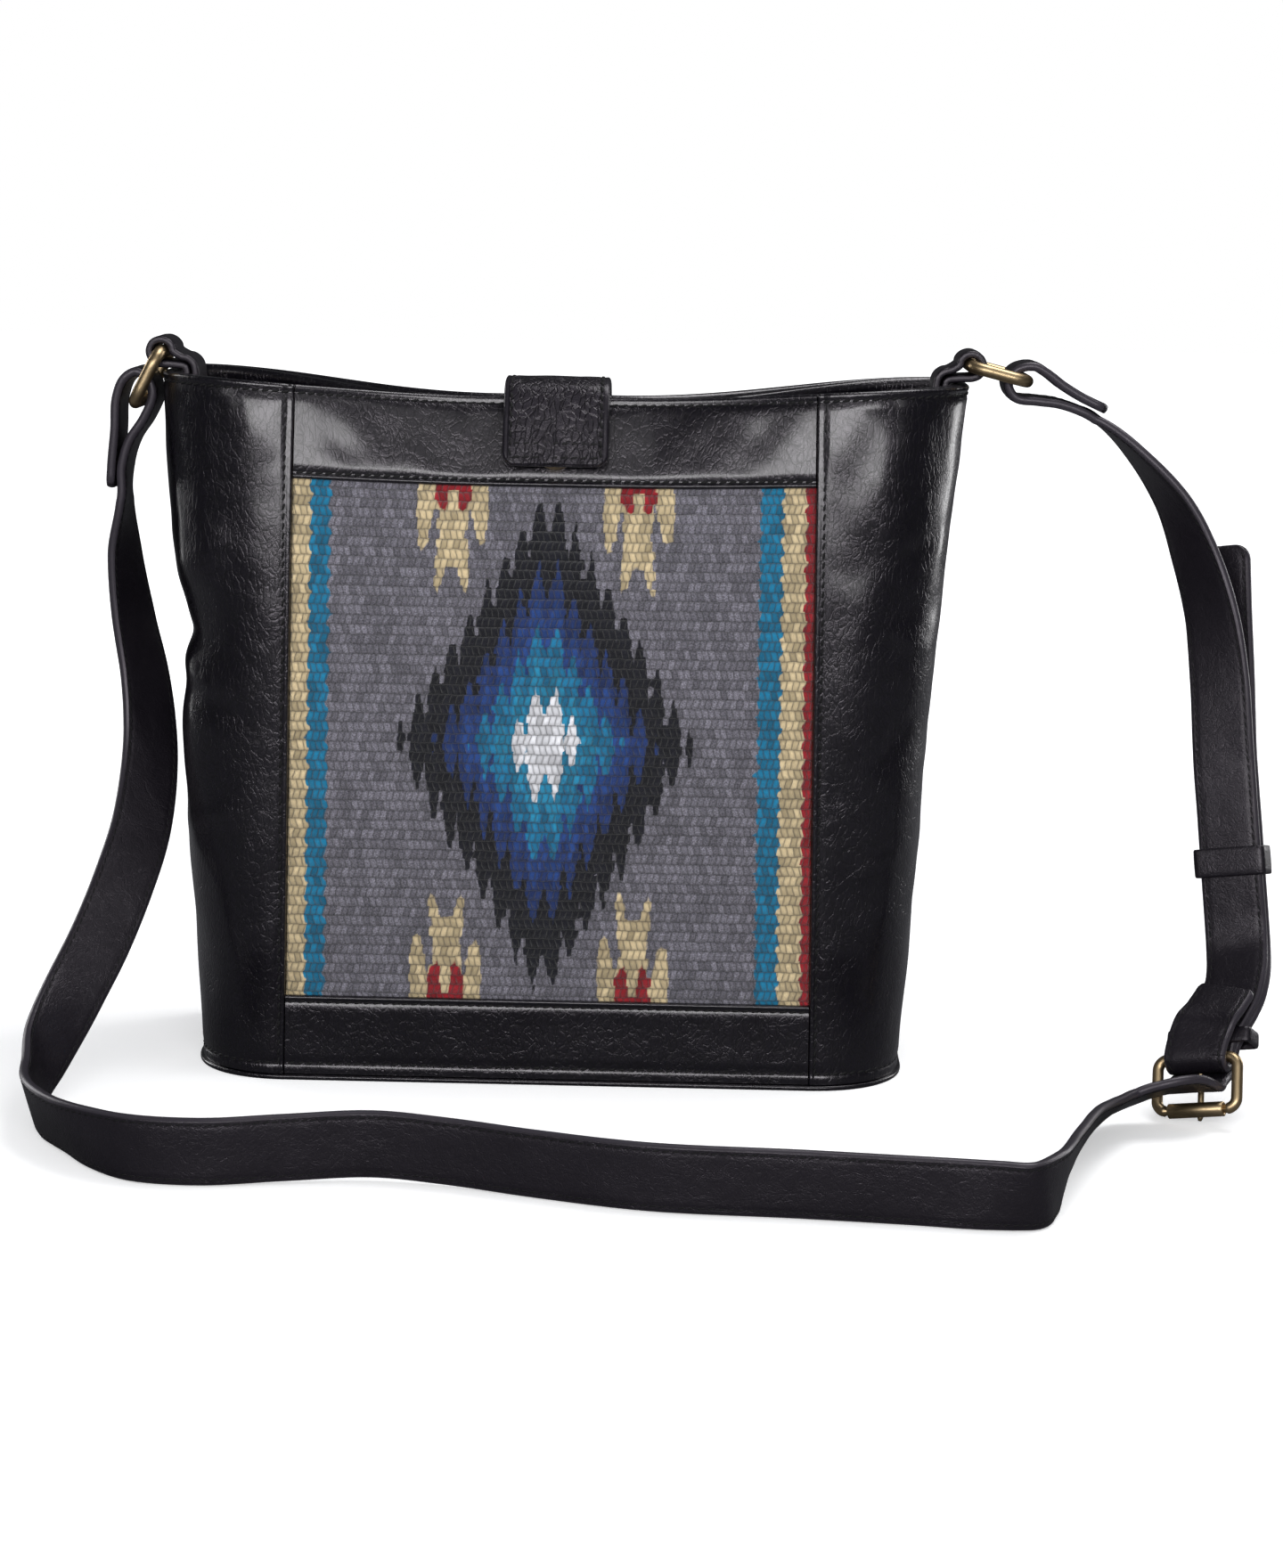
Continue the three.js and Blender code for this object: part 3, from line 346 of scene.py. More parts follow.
# Thread, mottled by fine noise.
def threadMaterial():
    material, tree, shader = principled("blackThread", {"Roughness": 0.75})
    place = node(tree, "TexCoord").outputs["Object"]
    twist = noiseAt(tree, place, 2600.0, 2.0)
    tree.links.new(mixColor(tree, twist, srgb(*threadTones["dark"]), srgb(*threadTones["light"])),
                   shader.inputs["Base Color"])
    raiseBy(tree, shader, twist, 0.5, 0.0002)
    return material


blackThread = threadMaterial()


brass = {"dark": (160, 136, 102), "light": (206, 182, 142), "worn": (226, 206, 170), "roughness": 0.26}


# Brass: base tone by a slow noise, brushed lines by a finer noise that is squeezed along Z.
def brassMaterial():
    material, tree, shader = principled("brushedBrass", {"Metallic": 1.0})
    place = node(tree, "TexCoord").outputs["Object"]
    stretched = node(tree, "Mapping", {"Vector": place, "Scale": (1.0, 1.0, 5.0)}).outputs[0]
    brush = noiseAt(tree, stretched, 900.0, 4.0)
    base = mixColor(tree, noiseAt(tree, place, 160.0, 3.0), srgb(*brass["dark"]), srgb(*brass["light"]))
    tree.links.new(mixColor(tree, math2(tree, "MULTIPLY", brush, 0.35), base, srgb(*brass["worn"])),
                   shader.inputs["Base Color"])
    tree.links.new(math2(tree, "ADD", math2(tree, "MULTIPLY", brush, 0.25), brass["roughness"]),
                   shader.inputs["Roughness"])
    raiseBy(tree, shader, brush, 0.06, 0.0002)
    return material


brushedBrass = brassMaterial()


# Plain weave: the product of two waves, one up and one across, is the bump and also lightens the colour where
# the threads rise, a painted shade between them; noise mottles the tone.
def clothMaterial(name, dark, light):
    material, tree, shader = principled(name, {"Roughness": 0.9})
    place = node(tree, "TexCoord").outputs["Object"]
    weft, warp = (node(tree, "TexWave", {"Vector": place, "Scale": 480.0, "Distortion": 0.6},
                       bands_direction=way).outputs["Fac"] for way in "ZX")
    cross = math2(tree, "MULTIPLY", weft, warp)
    # Painted shade: half the tone is the weave's height, so the gaps between threads are darker; the other
    # half is noise.
    tone = math2(tree, "ADD", math2(tree, "MULTIPLY", noiseAt(tree, place, 700.0, 3.0), 0.5), math2(
        tree, "MULTIPLY", cross, 0.5))
    tree.links.new(mixColor(tree, tone, srgb(*dark), srgb(*light)), shader.inputs["Base Color"])
    raiseBy(tree, shader, cross, 0.4, 0.0004)
    return material


liningCloth = clothMaterial("liningCloth", (88, 76, 60), (132, 116, 92))
boardMaterial = clothMaterial("fibreBoard", (120, 104, 80), (156, 138, 108))
print("leather, brass and cloth materials made")


# The bag's outline, as in the CAD part. A place on its wall is (k, h): k runs round the outline from
# the left front seam at 0 over the right front seam at 1, the right side from 2 to 3, the back from
# 4 to 5 and the left side from 6 to 7; h runs from the foot of the wall at 0 to the rim at 1.
bag = {
    "height": 268.0, "wallFoot": 2.1, "baseThick": 1.8, "baseLip": 1.2,
    "rimHalf": 153.0, "baseHalf": 137.2, "rightFlare": 4.5, "seamTop": 97.5, "seamBase": 101.0,
    "frontBase": 53.0, "frontRim": 50.0, "backBase": 53.0, "backRim": 48.0,
    "cornerDepth": 38.0, "backCorner": 7.0,
    "frontPinch": 27.0, "backPinch": 52.0, "pinchReach": 150.0, "pinchFlat": 24.0, "rimDip": 6.0,
    "dent": 6.5, "dentHeight": 170.0, "dentSpan": 26.0,
}


# 1 on the flat middle, then the square of a cosine down to 0 at the reach.
def pinchAcross(x):
    away = np.maximum(0, np.abs(x) - bag["pinchFlat"]) / (bag["pinchReach"] - bag["pinchFlat"])
    return np.cos(np.pi / 2 * np.minimum(1, away)) ** 2


# 0 up to half the height, then a square up to 1 at the rim.
def pinchUp(h):
    return np.maximum(0, (h - 0.5) / 0.5) ** 2


# The front's place along y: a straight slope from base to rim, drawn in by the pinch.
def frontY(x, h):
    straight = bag["frontBase"] + (bag["frontRim"] - bag["frontBase"]) * h
    return bag["frontPinch"] * pinchAcross(x) * pinchUp(h) - straight


# The back's place along y, worked out in the same way.
def backY(x, h):
    straight = bag["backBase"] + (bag["backRim"] - bag["backBase"]) * h
    return straight - bag["backPinch"] * pinchAcross(x) * pinchUp(h)


# Half the bag's width at a height: a straight slope from base to rim, opened near the rim on the
# right and dented by a bell curve on the left.
def sideAt(h, sign):
    dent = bag["dent"] * np.exp(-(((h * bag["height"] - bag["dentHeight"]) / bag["dentSpan"]) ** 2))
    change = np.where(np.asarray(sign) < 0, -dent, bag["rightFlare"] * pinchUp(h))
    return bag["baseHalf"] + (bag["rimHalf"] - bag["baseHalf"]) * h + change


# The outline at a height: straight to the front seam, a cubic curve round the front corner, the
# straight side, a quarter circle, and the back. The left is worked out as the right and mirrored.
def skin(k, h):
    k, h = np.broadcast_arrays(np.asarray(k, float), np.asarray(h, float))
    turn = np.mod(k, 8)
    onFront, onBack = turn <= 1, (turn >= 4) & (turn <= 5)
    t = np.where(onFront, np.abs(2 * turn - 1), np.where(turn <= 4, turn, np.where(
        onBack, 5 - np.abs(2 * turn - 9), 9 - turn)))
    sign = np.where(onFront, np.where(turn < 0.5, -1, 1), np.where(turn <= 4.5, 1, -1))
    seam = bag["seamBase"] + (bag["seamTop"] - bag["seamBase"]) * h
    side = sideAt(h, sign)
    backX = side - bag["backCorner"]
    seamY = frontY(seam, h)
    slope = frontY(seam + 0.5, h) - frontY(seam - 0.5, h)
    reach = (side - seam) * 0.55
    s = np.clip(t - 1, 0, 1)
    a, b, c, d = (1 - s) ** 3, 3 * s * (1 - s) ** 2, 3 * s * s * (1 - s), s ** 3
    cornerX = a * seam + b * (seam + reach) + (c + d) * side
    cornerY = a * seamY + b * (seamY + slope * reach) + c * (seamY + bag["cornerDepth"] * 0.35) + d * (
        seamY + bag["cornerDepth"])
    backEnd = backY(backX, h) - bag["backCorner"]
    sideY = seamY + bag["cornerDepth"] + (backEnd - seamY - bag["cornerDepth"]) * (t - 2)
    angle = (t - 3) * np.pi / 2
    across = np.where(t <= 1, t * seam, backX * (5 - t))
    x = np.select([t <= 1, t < 2, t <= 3, t < 4], [
        across, cornerX, side, backX + bag["backCorner"] * np.cos(angle)], across)
    y = np.select([t <= 1, t < 2, t <= 3, t < 4], [
        frontY(across, h), cornerY, sideY, backEnd + bag["backCorner"] * np.sin(angle)], backY(across, h))
    z = bag["wallFoot"] + (bag["height"] - bag["wallFoot"]) * h - bag["rimDip"] * pinchAcross(x) * pinchUp(h)
    return np.stack([sign * x, y, z], -1)


# The cross product of the steps along the outline and up the wall; level at the foot.
def outward(k, h):
    step = 0.004
    along = skin(k + step, h) - skin(k - step, h)
    rise = skin(k, np.minimum(1, h + step)) - skin(k, np.maximum(0, h - step))
    normal = unit(np.cross(along, rise))
    normal[..., 2] = np.where(np.asarray(h) < 0.02, 0, normal[..., 2])
    return unit(normal)


# A place on the wall, moved inwards along its normal.
def wall(k, h, depth):
    return skin(k, h) - outward(k, h) * np.asarray(depth)[..., None]


# The share of the wall's height at a height in mm.
def heightAt(z):
    return (z - bag["wallFoot"]) / (bag["height"] - bag["wallFoot"])


# Steps that crowd towards both ends of a stretch, so that a rolled edge has enough of them.
def crowded(start, end, count, first):
    inner = np.linspace(start, end, count)
    ends = np.array([0.12, 0.35, 0.7, 1.1, 1.7, 2.4, 3.2]) * first * np.sign(end - start)
    return np.unique(np.concatenate([inner, start + ends, end - ends]))


# How far each place of a grid lies from its grid's four edges, along the surface.
def edgeDistances(points):
    across = np.linalg.norm(np.diff(points, axis=1), axis=-1)
    left = np.concatenate([np.zeros((points.shape[0], 1)), np.cumsum(across, 1)], 1)
    up = np.linalg.norm(np.diff(points, axis=0), axis=-1)
    bottom = np.concatenate([np.zeros((1, points.shape[1])), np.cumsum(up, 0)], 0)
    return left, left[:, -1:] - left, bottom, bottom[-1:] - bottom


# The drop of a rolled edge: a quarter circle of the given radius.
def roll(distance, radius):
    inside = np.clip(1 - distance / radius, 0, 1)
    return radius * (1 - np.sqrt(1 - inside ** 2))


# A bell curve across a line, its depth at the middle.
def groove(distance, place, width, depth):
    return depth * np.exp(-(((distance - place) / width) ** 2))


# Soft folds of the leather: each is a ridge or hollow along a line from one place to another.
folds = [
    # x, z, x, z, half width, height
    (-152, 178, -136, 166, 4.0, -1.5), (-150, 168, -133, 150, 5.0, 1.5), (-149, 186, -128, 205, 7.0, 1.1),
    (-146, 150, -118, 140, 6.0, -0.9), (-144, 205, -137, 120, 7.0, 0.9), (-118, 262, -106, 236, 9.0, 0.9),
    (-127, 250, -121, 190, 8.0, -0.8), (-112, 120, -124, 60, 10.0, 0.8), (-131, 60, -136, 20, 7.0, -0.7),
    (-109, 72, -105, 30, 6.0, 0.6), (130, 250, 127, 190, 8.0, 0.9), (118, 255, 108, 215, 8.0, -0.8),
    (141, 240, 136, 150, 6.0, 0.8), (120, 190, 112, 140, 9.0, 0.8), (138, 145, 126, 128, 4.0, -0.9),
    (133, 120, 131, 60, 8.0, 0.8), (113, 110, 118, 40, 8.0, -0.7), (140, 170, 128, 178, 3.5, 0.9),
    (146, 215, 134, 205, 3.5, -0.8), (134, 92, 120, 84, 3.5, 0.6), (-140, 96, -120, 104, 4.0, 0.7),
    (60, 262, 44, 240, 5.0, 0.5), (-66, 262, -52, 238, 5.0, 0.5), (84, 258, 70, 240, 6.0, -0.45),
    (-86, 250, -74, 236, 5.0, -0.4), (-30, 260, -40, 240, 4.0, 0.4), (30, 261, 38, 244, 4.0, -0.4),
]


# Each fold is a bell curve across its line times a sine along it; two fields of waves are added.
def foldHeight(points):
    total = np.zeros(points.shape[:-1])
    front = smoothStep(30, -10, points[..., 1])
    for x1, z1, x2, z2, width, height in folds:
        start, end = np.array([x1, z1], float), np.array([x2, z2], float)
        place = points[..., [0, 2]] - start
        run = end - start
        t = np.clip(place @ run / (run @ run), 0, 1)
        away = np.linalg.norm(place - t[..., None] * run, axis=-1)
        total += height * np.exp(-((away / width) ** 2)) * np.sin(np.pi * (0.15 + 0.7 * t))
    return total * front + 0.28 * waves(points, 7, 46) + 0.1 * waves(points, 9, 17)


# The walls' layers, in mm inwards from the outline; the bands' edges, in mm up; the seams.
walls = {
    "gap": 0.3, "bandSink": 0.5, "bandInner": 2.3, "weaveFace": 2.85, "wallInner": 3.85,
    "bandFoot": 232.0, "footTop": 33.0, "footStitch": 4.2, "hemStitch": 2.4, "backSeam": 3.0,
    "edgeRoll": 1.3, "stitchInset": 2.6, "rimStitch": 3.2, "groove": 0.55, "grooveWidth": 1.1,
    "hemThread": 2.5, "backWidth": 290.0,
}


# A sewn leather wall: its outer skin is rolled at the edges that are named, pressed in along its
# seams and folded softly; its inner skin follows the CAD part's.
def leatherWall(name, kSpan, hSpan, counts, outerDepth, innerDepth, rolled, stitched, replaced, foldShare=1):
    mid = skin(np.linspace(*kSpan, 40), 0.5)
    perK = np.linalg.norm(np.diff(mid, axis=0), axis=-1).sum() / (kSpan[1] - kSpan[0])
    k = crowded(*kSpan, counts[0], 1.0 / perK)
    h = crowded(*hSpan, counts[1], 1.0 / bag["height"])
    kGrid, hGrid = np.meshgrid(k, h)
    base = skin(kGrid, hGrid)
    distances = dict(zip(("left", "right", "bottom", "top"), edgeDistances(base)))
    depth = np.full(kGrid.shape, outerDepth)
    lift = foldHeight(base) * foldShare
    for distance in distances.values():
        lift *= smoothStep(0.5, 9, distance)
    depth -= lift
    for edge in rolled:
        depth += roll(distances[edge], walls["edgeRoll"])
    for edge, inset in stitched.items():
        depth += groove(distances[edge], inset, walls["grooveWidth"], walls["groove"])
    depth = np.minimum(depth, innerDepth - 0.25)
    outer = wall(kGrid, hGrid, depth)
    inner = wall(kGrid, hGrid, np.full(kGrid.shape, innerDepth))
    points = np.concatenate([outer.reshape(-1, 3), inner.reshape(-1, 3)])
    makePiece(name, points, plateFaces(*kGrid.shape), bagLeather, "bag", [replaced])


edge = 0.1 / (2 * bag["seamBase"])
seamInset, backInset, rimInset = walls["stitchInset"], walls["backSeam"], walls["rimStitch"]
footInset, hemInset = walls["footStitch"], walls["hemStitch"]
leatherWall("leatherBandTop", (edge, 1 - edge), (heightAt(walls["bandFoot"]), 1), (120, 26),
            walls["bandSink"], walls["bandInner"], ("bottom", "top"),
            {"bottom": hemInset, "top": rimInset}, "front_top_band", 0.8)
leatherWall("leatherBandBottom", (edge, 1 - edge), (0, heightAt(walls["footTop"])), (110, 20),
            walls["bandSink"], walls["bandInner"], ("top",),
            {"bottom": footInset, "top": hemInset}, "front_bottom_band", 0.5)
for name, replaced, span, counts, rolled, left, right in (
        ("SideRight", "side_panel_right", (1.0008, 3.9995), (110, 150), ["left"], seamInset, backInset),
        ("SideLeft", "side_panel_left", (5.0005, 7.9992), (110, 150), ["right"], backInset, seamInset),
        ("Back", "back_panel", (4 + edge, 5 - edge), (150, 110), ["left", "right"], backInset, backInset)):
    leatherWall("leather" + name, span, (0, 1), counts, 0.0, walls["wallInner"], rolled + ["top"], {
        "bottom": footInset, "top": rimInset, "left": left, "right": right}, replaced)
print("leather walls made")


# Base, lining and rim facing: a profile of (depth, z) or (depth, h) carried round the outline, in
# steps that are closer together round the corners.
def outlineSteps():
    parts = [(0, 1, 50), (1, 2, 26), (2, 3, 16), (3, 4, 10), (4, 5, 60), (5, 6, 10), (6, 7, 16), (7, 8, 26)]
    return np.concatenate([np.linspace(a, b, n, endpoint=False) for a, b, n in parts])


# Loops of equal length joined one to the next, and closed on themselves or by a fan at each end.
def closedLoops(name, loops, material, replaced, poles=None):
    rows, columns = len(loops), loops[0].shape[0]
    points = np.concatenate(loops)
    if poles is None:
        faces = [gridQuads(rows, columns, closeRows=True, closeColumns=True)]
    else:
        faces = [gridQuads(rows, columns, closeColumns=True)]
        first, last = len(points), len(points) + 1
        points = np.concatenate([points, [poles[0], poles[1]]])
        c = np.arange(columns)
        n = (c + 1) % columns
        top = (rows - 1) * columns
        faces.append(np.stack([np.full(columns, first), n, c], -1))
        faces.append(np.stack([np.full(columns, last), top + c, top + n], -1))
    makePiece(name, points, faces, material, "bag", [replaced])


steps = outlineSteps()
footSkin = skin(steps, 0.0)
footOut = outward(steps, np.zeros_like(steps))


# The outline at the wall's foot, moved inwards and set at one height.
def footLoop(depth, z):
    loop = footSkin - footOut * depth
    loop[:, 2] = z
    return loop


lip, thick = bag["baseLip"], bag["baseThick"]
baseProfile = [(6, 0.0), (-lip + 0.5, 0.0), (-lip + 0.12, 0.2), (-lip, 0.6), (-lip, thick - 0.6),
               (-lip + 0.15, thick - 0.15), (-lip + 0.6, thick), (3, thick)]
closedLoops("leatherBase", [footLoop(d, z) for d, z in baseProfile], bagLeather,
            "base_panel", ((0, 0, 0), (0, 0, thick)))

# Inside the walls, in mm inwards from the outline; the lining's floor and its top, in mm up.
liningOuter, liningInner, facingOuter, facingInner = 4.3, 5.0, 5.3, 6.5
floorBottom, floorTop, liningTop = 4.9, 5.6, 255.0
liningRows = np.linspace(heightAt(floorTop + 2), heightAt(liningTop), 46)
liningLoops = [footLoop(30, floorBottom), footLoop(liningOuter, floorBottom)]
liningLoops += [wall(steps, np.full_like(steps, h), np.full_like(steps, liningOuter)) for h in liningRows]
liningLoops += [wall(steps, np.full_like(steps, h), liningInner + 0.25 * smoothStep(0.9, 0.5, h) * waves(
    skin(steps, h), 3, 60)) for h in liningRows[::-1]]
liningLoops += [footLoop(liningInner, floorTop), footLoop(30, floorTop)]
closedLoops("liningCup", liningLoops, liningCloth, "lining",
            ((0, 0, floorBottom), (0, 0, floorTop)))

facingRows = np.linspace(heightAt(bag["height"] - 35), 1, 12)
facingLoops = [wall(steps, np.full_like(steps, h), np.full_like(steps, facingOuter - 1.35 * smoothStep(
    heightAt(liningTop + 1), heightAt(liningTop + 8), h))) for h in facingRows]
facingDrops = [0.4] + [0.0] * 10 + [0.5]
facingLoops += [wall(steps, np.full_like(steps, h), np.full_like(steps, facingInner - drop))
                for h, drop in zip(facingRows[::-1], facingDrops)]
closedLoops("leatherFacing", facingLoops, bagLeather, "rim_facing")
print("base, lining and facing made")


# Stitches: one small bead for each, five rings of six points, thinner towards both ends.
def beadShape():
    rings = np.array([(-0.5, 0.35), (-0.32, 0.9), (0.0, 1.0), (0.32, 0.9), (0.5, 0.35)])
    angles = np.arange(6) * np.pi / 3
    return np.stack([
        np.repeat(rings[:, 0], 6),
        np.outer(rings[:, 1], np.cos(angles)).reshape(-1),
        np.outer(rings[:, 1], np.sin(angles)).reshape(-1),
    ], -1), gridQuads(5, 6, closeColumns=True)


# The length run along a path up to each of its points.
def runLength(path):
    return np.concatenate([[0], np.cumsum(np.linalg.norm(np.diff(path, axis=0), axis=-1))])


# Vectors given along a run, read at other places on it.
def along3(places, run, vectors):
    return np.stack([np.interp(places, run, vectors[:, i]) for i in range(3)], -1)


# Beads at even steps along a path, turned by the slant about the surface's normal.
def stitchLine(name, path, normals, pitch, length, radius, slant=0.0, sink=0.1, body="bag"):
    run = runLength(path)
    count = max(2, int(run[-1] / pitch))
    places = (np.arange(count) + 0.5) * run[-1] / count
    centre, normal = along3(places, run, path), unit(along3(places, run, normals))
    tangent = unit(along3(places + 0.6, run, path) - along3(places - 0.6, run, path))
    across = unit(np.cross(normal, tangent))
    along = unit(tangent * math.cos(slant) + across * math.sin(slant))
    side = unit(np.cross(normal, along))
    bead, quads = beadShape()
    points = (centre - normal * sink)[:, None] + along[:, None] * bead[None, :, :1] * length \
        + side[:, None] * bead[None, :, 1:2] * radius + normal[:, None] * bead[None, :, 2:] * radius
    ends = np.array([[0, 5, 4, 3, 2, 1], [24, 25, 26, 27, 28, 29]])
    offsets = (np.arange(count) * len(bead))[:, None, None]
    faces = [(quads[None] + offsets).reshape(-1, 4), (ends[None] + offsets).reshape(-1, 6)]
    return makePiece(name, points.reshape(-1, 3), faces, blackThread, body)


# A line of stitches on the wall.
def wallStitches(name, k, h, depth, **changes):
    k, h = np.broadcast_arrays(k, h)
    values = {**thread, **changes}
    return stitchLine(name, wall(k, h, np.full(k.shape, depth)), outward(k, h), **values)


fine = np.linspace(0, 1, 240)
rimLine = heightAt(bag["height"] - rimInset)
footLine = footInset / bag["height"]
sideDepth = walls["groove"] - 0.05
bandDepth = walls["bandSink"] + sideDepth
for label, h in (("BandRim", rimLine), ("BandHem", heightAt(walls["bandFoot"] + walls["hemThread"])),
                 ("FootHem", heightAt(walls["footTop"] - walls["hemThread"])), ("FootFront", footLine)):
    wallStitches("stitch" + label, 0.004 + 0.992 * fine, h, bandDepth)
for line, h in (("Rim", rimLine), ("Foot", footLine)):
    for label, start, length in (("Right", 1.02, 2.93), ("Left", 5.05, 2.93), ("Back", 4.02, 0.96)):
        wallStitches("stitch" + line + label, start + length * fine, h, sideDepth)


# The outline's parameter at a distance in mm beside the right front seam.
def seamPlace(inset):
    k = np.linspace(1.0035, 1.2, 60)
    return np.interp(inset, runLength(skin(k, 0.5))[1:], k[1:])


seamK = seamPlace(seamInset)
seamHeights = 0.012 + 0.97 * fine
wallStitches("stitchSeamRight", seamK, seamHeights, sideDepth, slant=-0.25)
wallStitches("stitchSeamLeft", 9 - seamK, seamHeights, sideDepth, slant=-0.25)
backShare = backInset / walls["backWidth"]
for label, k in (("Right", 4 + backShare), ("Left", 5 - backShare)):
    wallStitches("stitchBackSeam" + label, k, seamHeights, sideDepth)
print("wall stitches made")


# Woven panel. Its face carries ribs; its colours come from signed distances, in mm, that are
# stored on the mesh and cut at zero in the material: stripes, a stepped diamond with toothed edges,
# and four forked ornaments at the top and bottom edges.
weave = {
    "width": 198.0, "height": 199.0, "middle": 132.5, "rib": 3.75, "lump": 2.35, "stand": 1.3, "relief": 0.6,
    "diamondCentre": (-1.9, 0.0), "toothStart": 3.7, "toothPitch": 6.35, "toothDepth": 15.5, "slope": 1.72,
    "zones": {"black": 97.3, "navy": 71.5, "blue": 58.0, "turquoise": 47.5, "bright": 34.0, "white": 23.5},
    "ornaments": (-38.6, 32.1),
}


# A zigzag between 0 and 1.
def tooth(x, pitch):
    return np.abs((x / pitch) % 1 * 2 - 1)


# A toothed diamond: at each tooth its half height falls by the slope, and between two teeth the
# edge is notched; the value is positive inside.
def diamond(x, z, peak, first, depth):
    q = (np.abs(x) - first) / weave["toothPitch"]
    nearest = np.maximum(0, np.round(q))
    away = np.minimum(1, np.abs(q - nearest) * 2)
    edgeHeight = peak - weave["slope"] * weave["toothPitch"] * nearest - depth * away ** 0.85
    return (edgeHeight - np.abs(z)) * 0.35


# Distances, positive inside, of the forked ornament: two arms, a body and two legs in cream, and a
# red head whose lower edge is a zigzag; down is measured from the weave's edge.
def ornament(x, down, redDepth):
    a = np.abs(x)
    armEnd = 24.5 + 1.5 * np.sign(-x)
    armMiddle = 9.6 + 1.6 * np.clip(down / armEnd, 0, 1)
    armHalf = 3.4 * np.sqrt(np.clip(1 - np.maximum(0, down - 9) / (armEnd - 9), 0, 1)) + 0.01
    arm = np.minimum(armHalf - np.abs(a - armMiddle), armEnd - down)
    body = np.minimum(6.2 - 0.6 * np.clip(down / 12, 0, 1) - a, 31 - down)
    legMiddle = 3.6 + 2.0 * np.clip((down - 28) / 13, 0, 1)
    legHalf = 2.3 * np.sqrt(np.clip((41.5 - down) / 13, 0, 1)) + 0.01
    leg = np.minimum(legHalf - np.abs(a - legMiddle), np.minimum(41.5 - down, down - 24))
    cream = np.maximum(np.maximum(arm, body), leg)
    cream = np.where(a < 8, cream - groove(down, 19, 3, 1.4) * 0.4, cream)
    redEdge = redDepth - 6.5 * np.abs(np.clip(a / 6.6, 0, 1) * 2 - 1.05)
    red = np.minimum(6.6 - a, (redEdge - down) * 0.5)
    middle = np.minimum(1.9 - a, (down - 2.5) * 0.5)
    return cream, np.minimum(red, -middle)


# Each place is drawn towards the middle of its own lump of yarn, so that every colour changes along
# the lumps' edges; the lumps of every second rib are moved by half a lump.
def towardsLumps(x, z, share):
    row = np.floor(z / weave["rib"])
    column = np.floor(x / weave["lump"] + 0.5 * np.mod(row, 2))
    middleX = (column + 0.5 - 0.5 * np.mod(row, 2)) * weave["lump"]
    return x + share * (middleX - x), z + share * ((row + 0.5) * weave["rib"] - z)


# All of the pattern's distances at places on the weave, packed by four into colour attributes.
def weaveFields(x, z):
    zig = 1.6 * (tooth(z, 2 * weave["rib"]) - 0.5)
    x, z = towardsLumps(x, z, 0.6)
    jitter = 0.35 * waves(np.stack([x, z, x * 0], -1), 21, 5.0)
    zig = zig + jitter
    left, right = weave["width"] / 2 + x, weave["width"] / 2 - x
    stripeTurquoise = np.maximum(np.minimum(left - 6.9 + zig, 14.6 - left - zig),
                                 np.minimum(right - 12.2 + zig, 20.9 - right - zig))
    stripeCream = np.maximum(6.9 - left - zig, np.minimum(right - 3.7 - zig * 0.8, 12.2 - right - zig))
    stripeRed = 3.7 - right + zig * 0.8
    cx, cz = weave["diamondCentre"]
    dx, dz = x - cx + jitter * 0.6, z - cz
    zones = {name: diamond(dx, dz, peak, weave["toothStart"], weave["toothDepth"] * (1 if peak > 60 else 0.8))
             for name, peak in weave["zones"].items()}
    cream, red = np.full(x.shape, -9.0), np.full(x.shape, -9.0)
    for middle in weave["ornaments"]:
        for sign in (1, -1):
            down = weave["height"] / 2 - sign * z
            part = ornament(x - middle + jitter * 0.8, down + jitter, 11.0 if sign > 0 else 15.0)
            cream, red = np.maximum(cream, part[0]), np.maximum(red, part[1])
    pack = lambda *values: np.stack([np.clip(0.5 + v / 12, 0, 1) for v in values] + [np.ones_like(x)], -1)
    return {
        "zonesOuter": pack(zones["black"], zones["navy"], zones["blue"]),
        "zonesInner": pack(zones["turquoise"], zones["bright"], zones["white"]),
        "stripes": pack(stripeTurquoise, stripeCream, stripeRed),
        "ornaments": pack(cream, red, cream),
    }
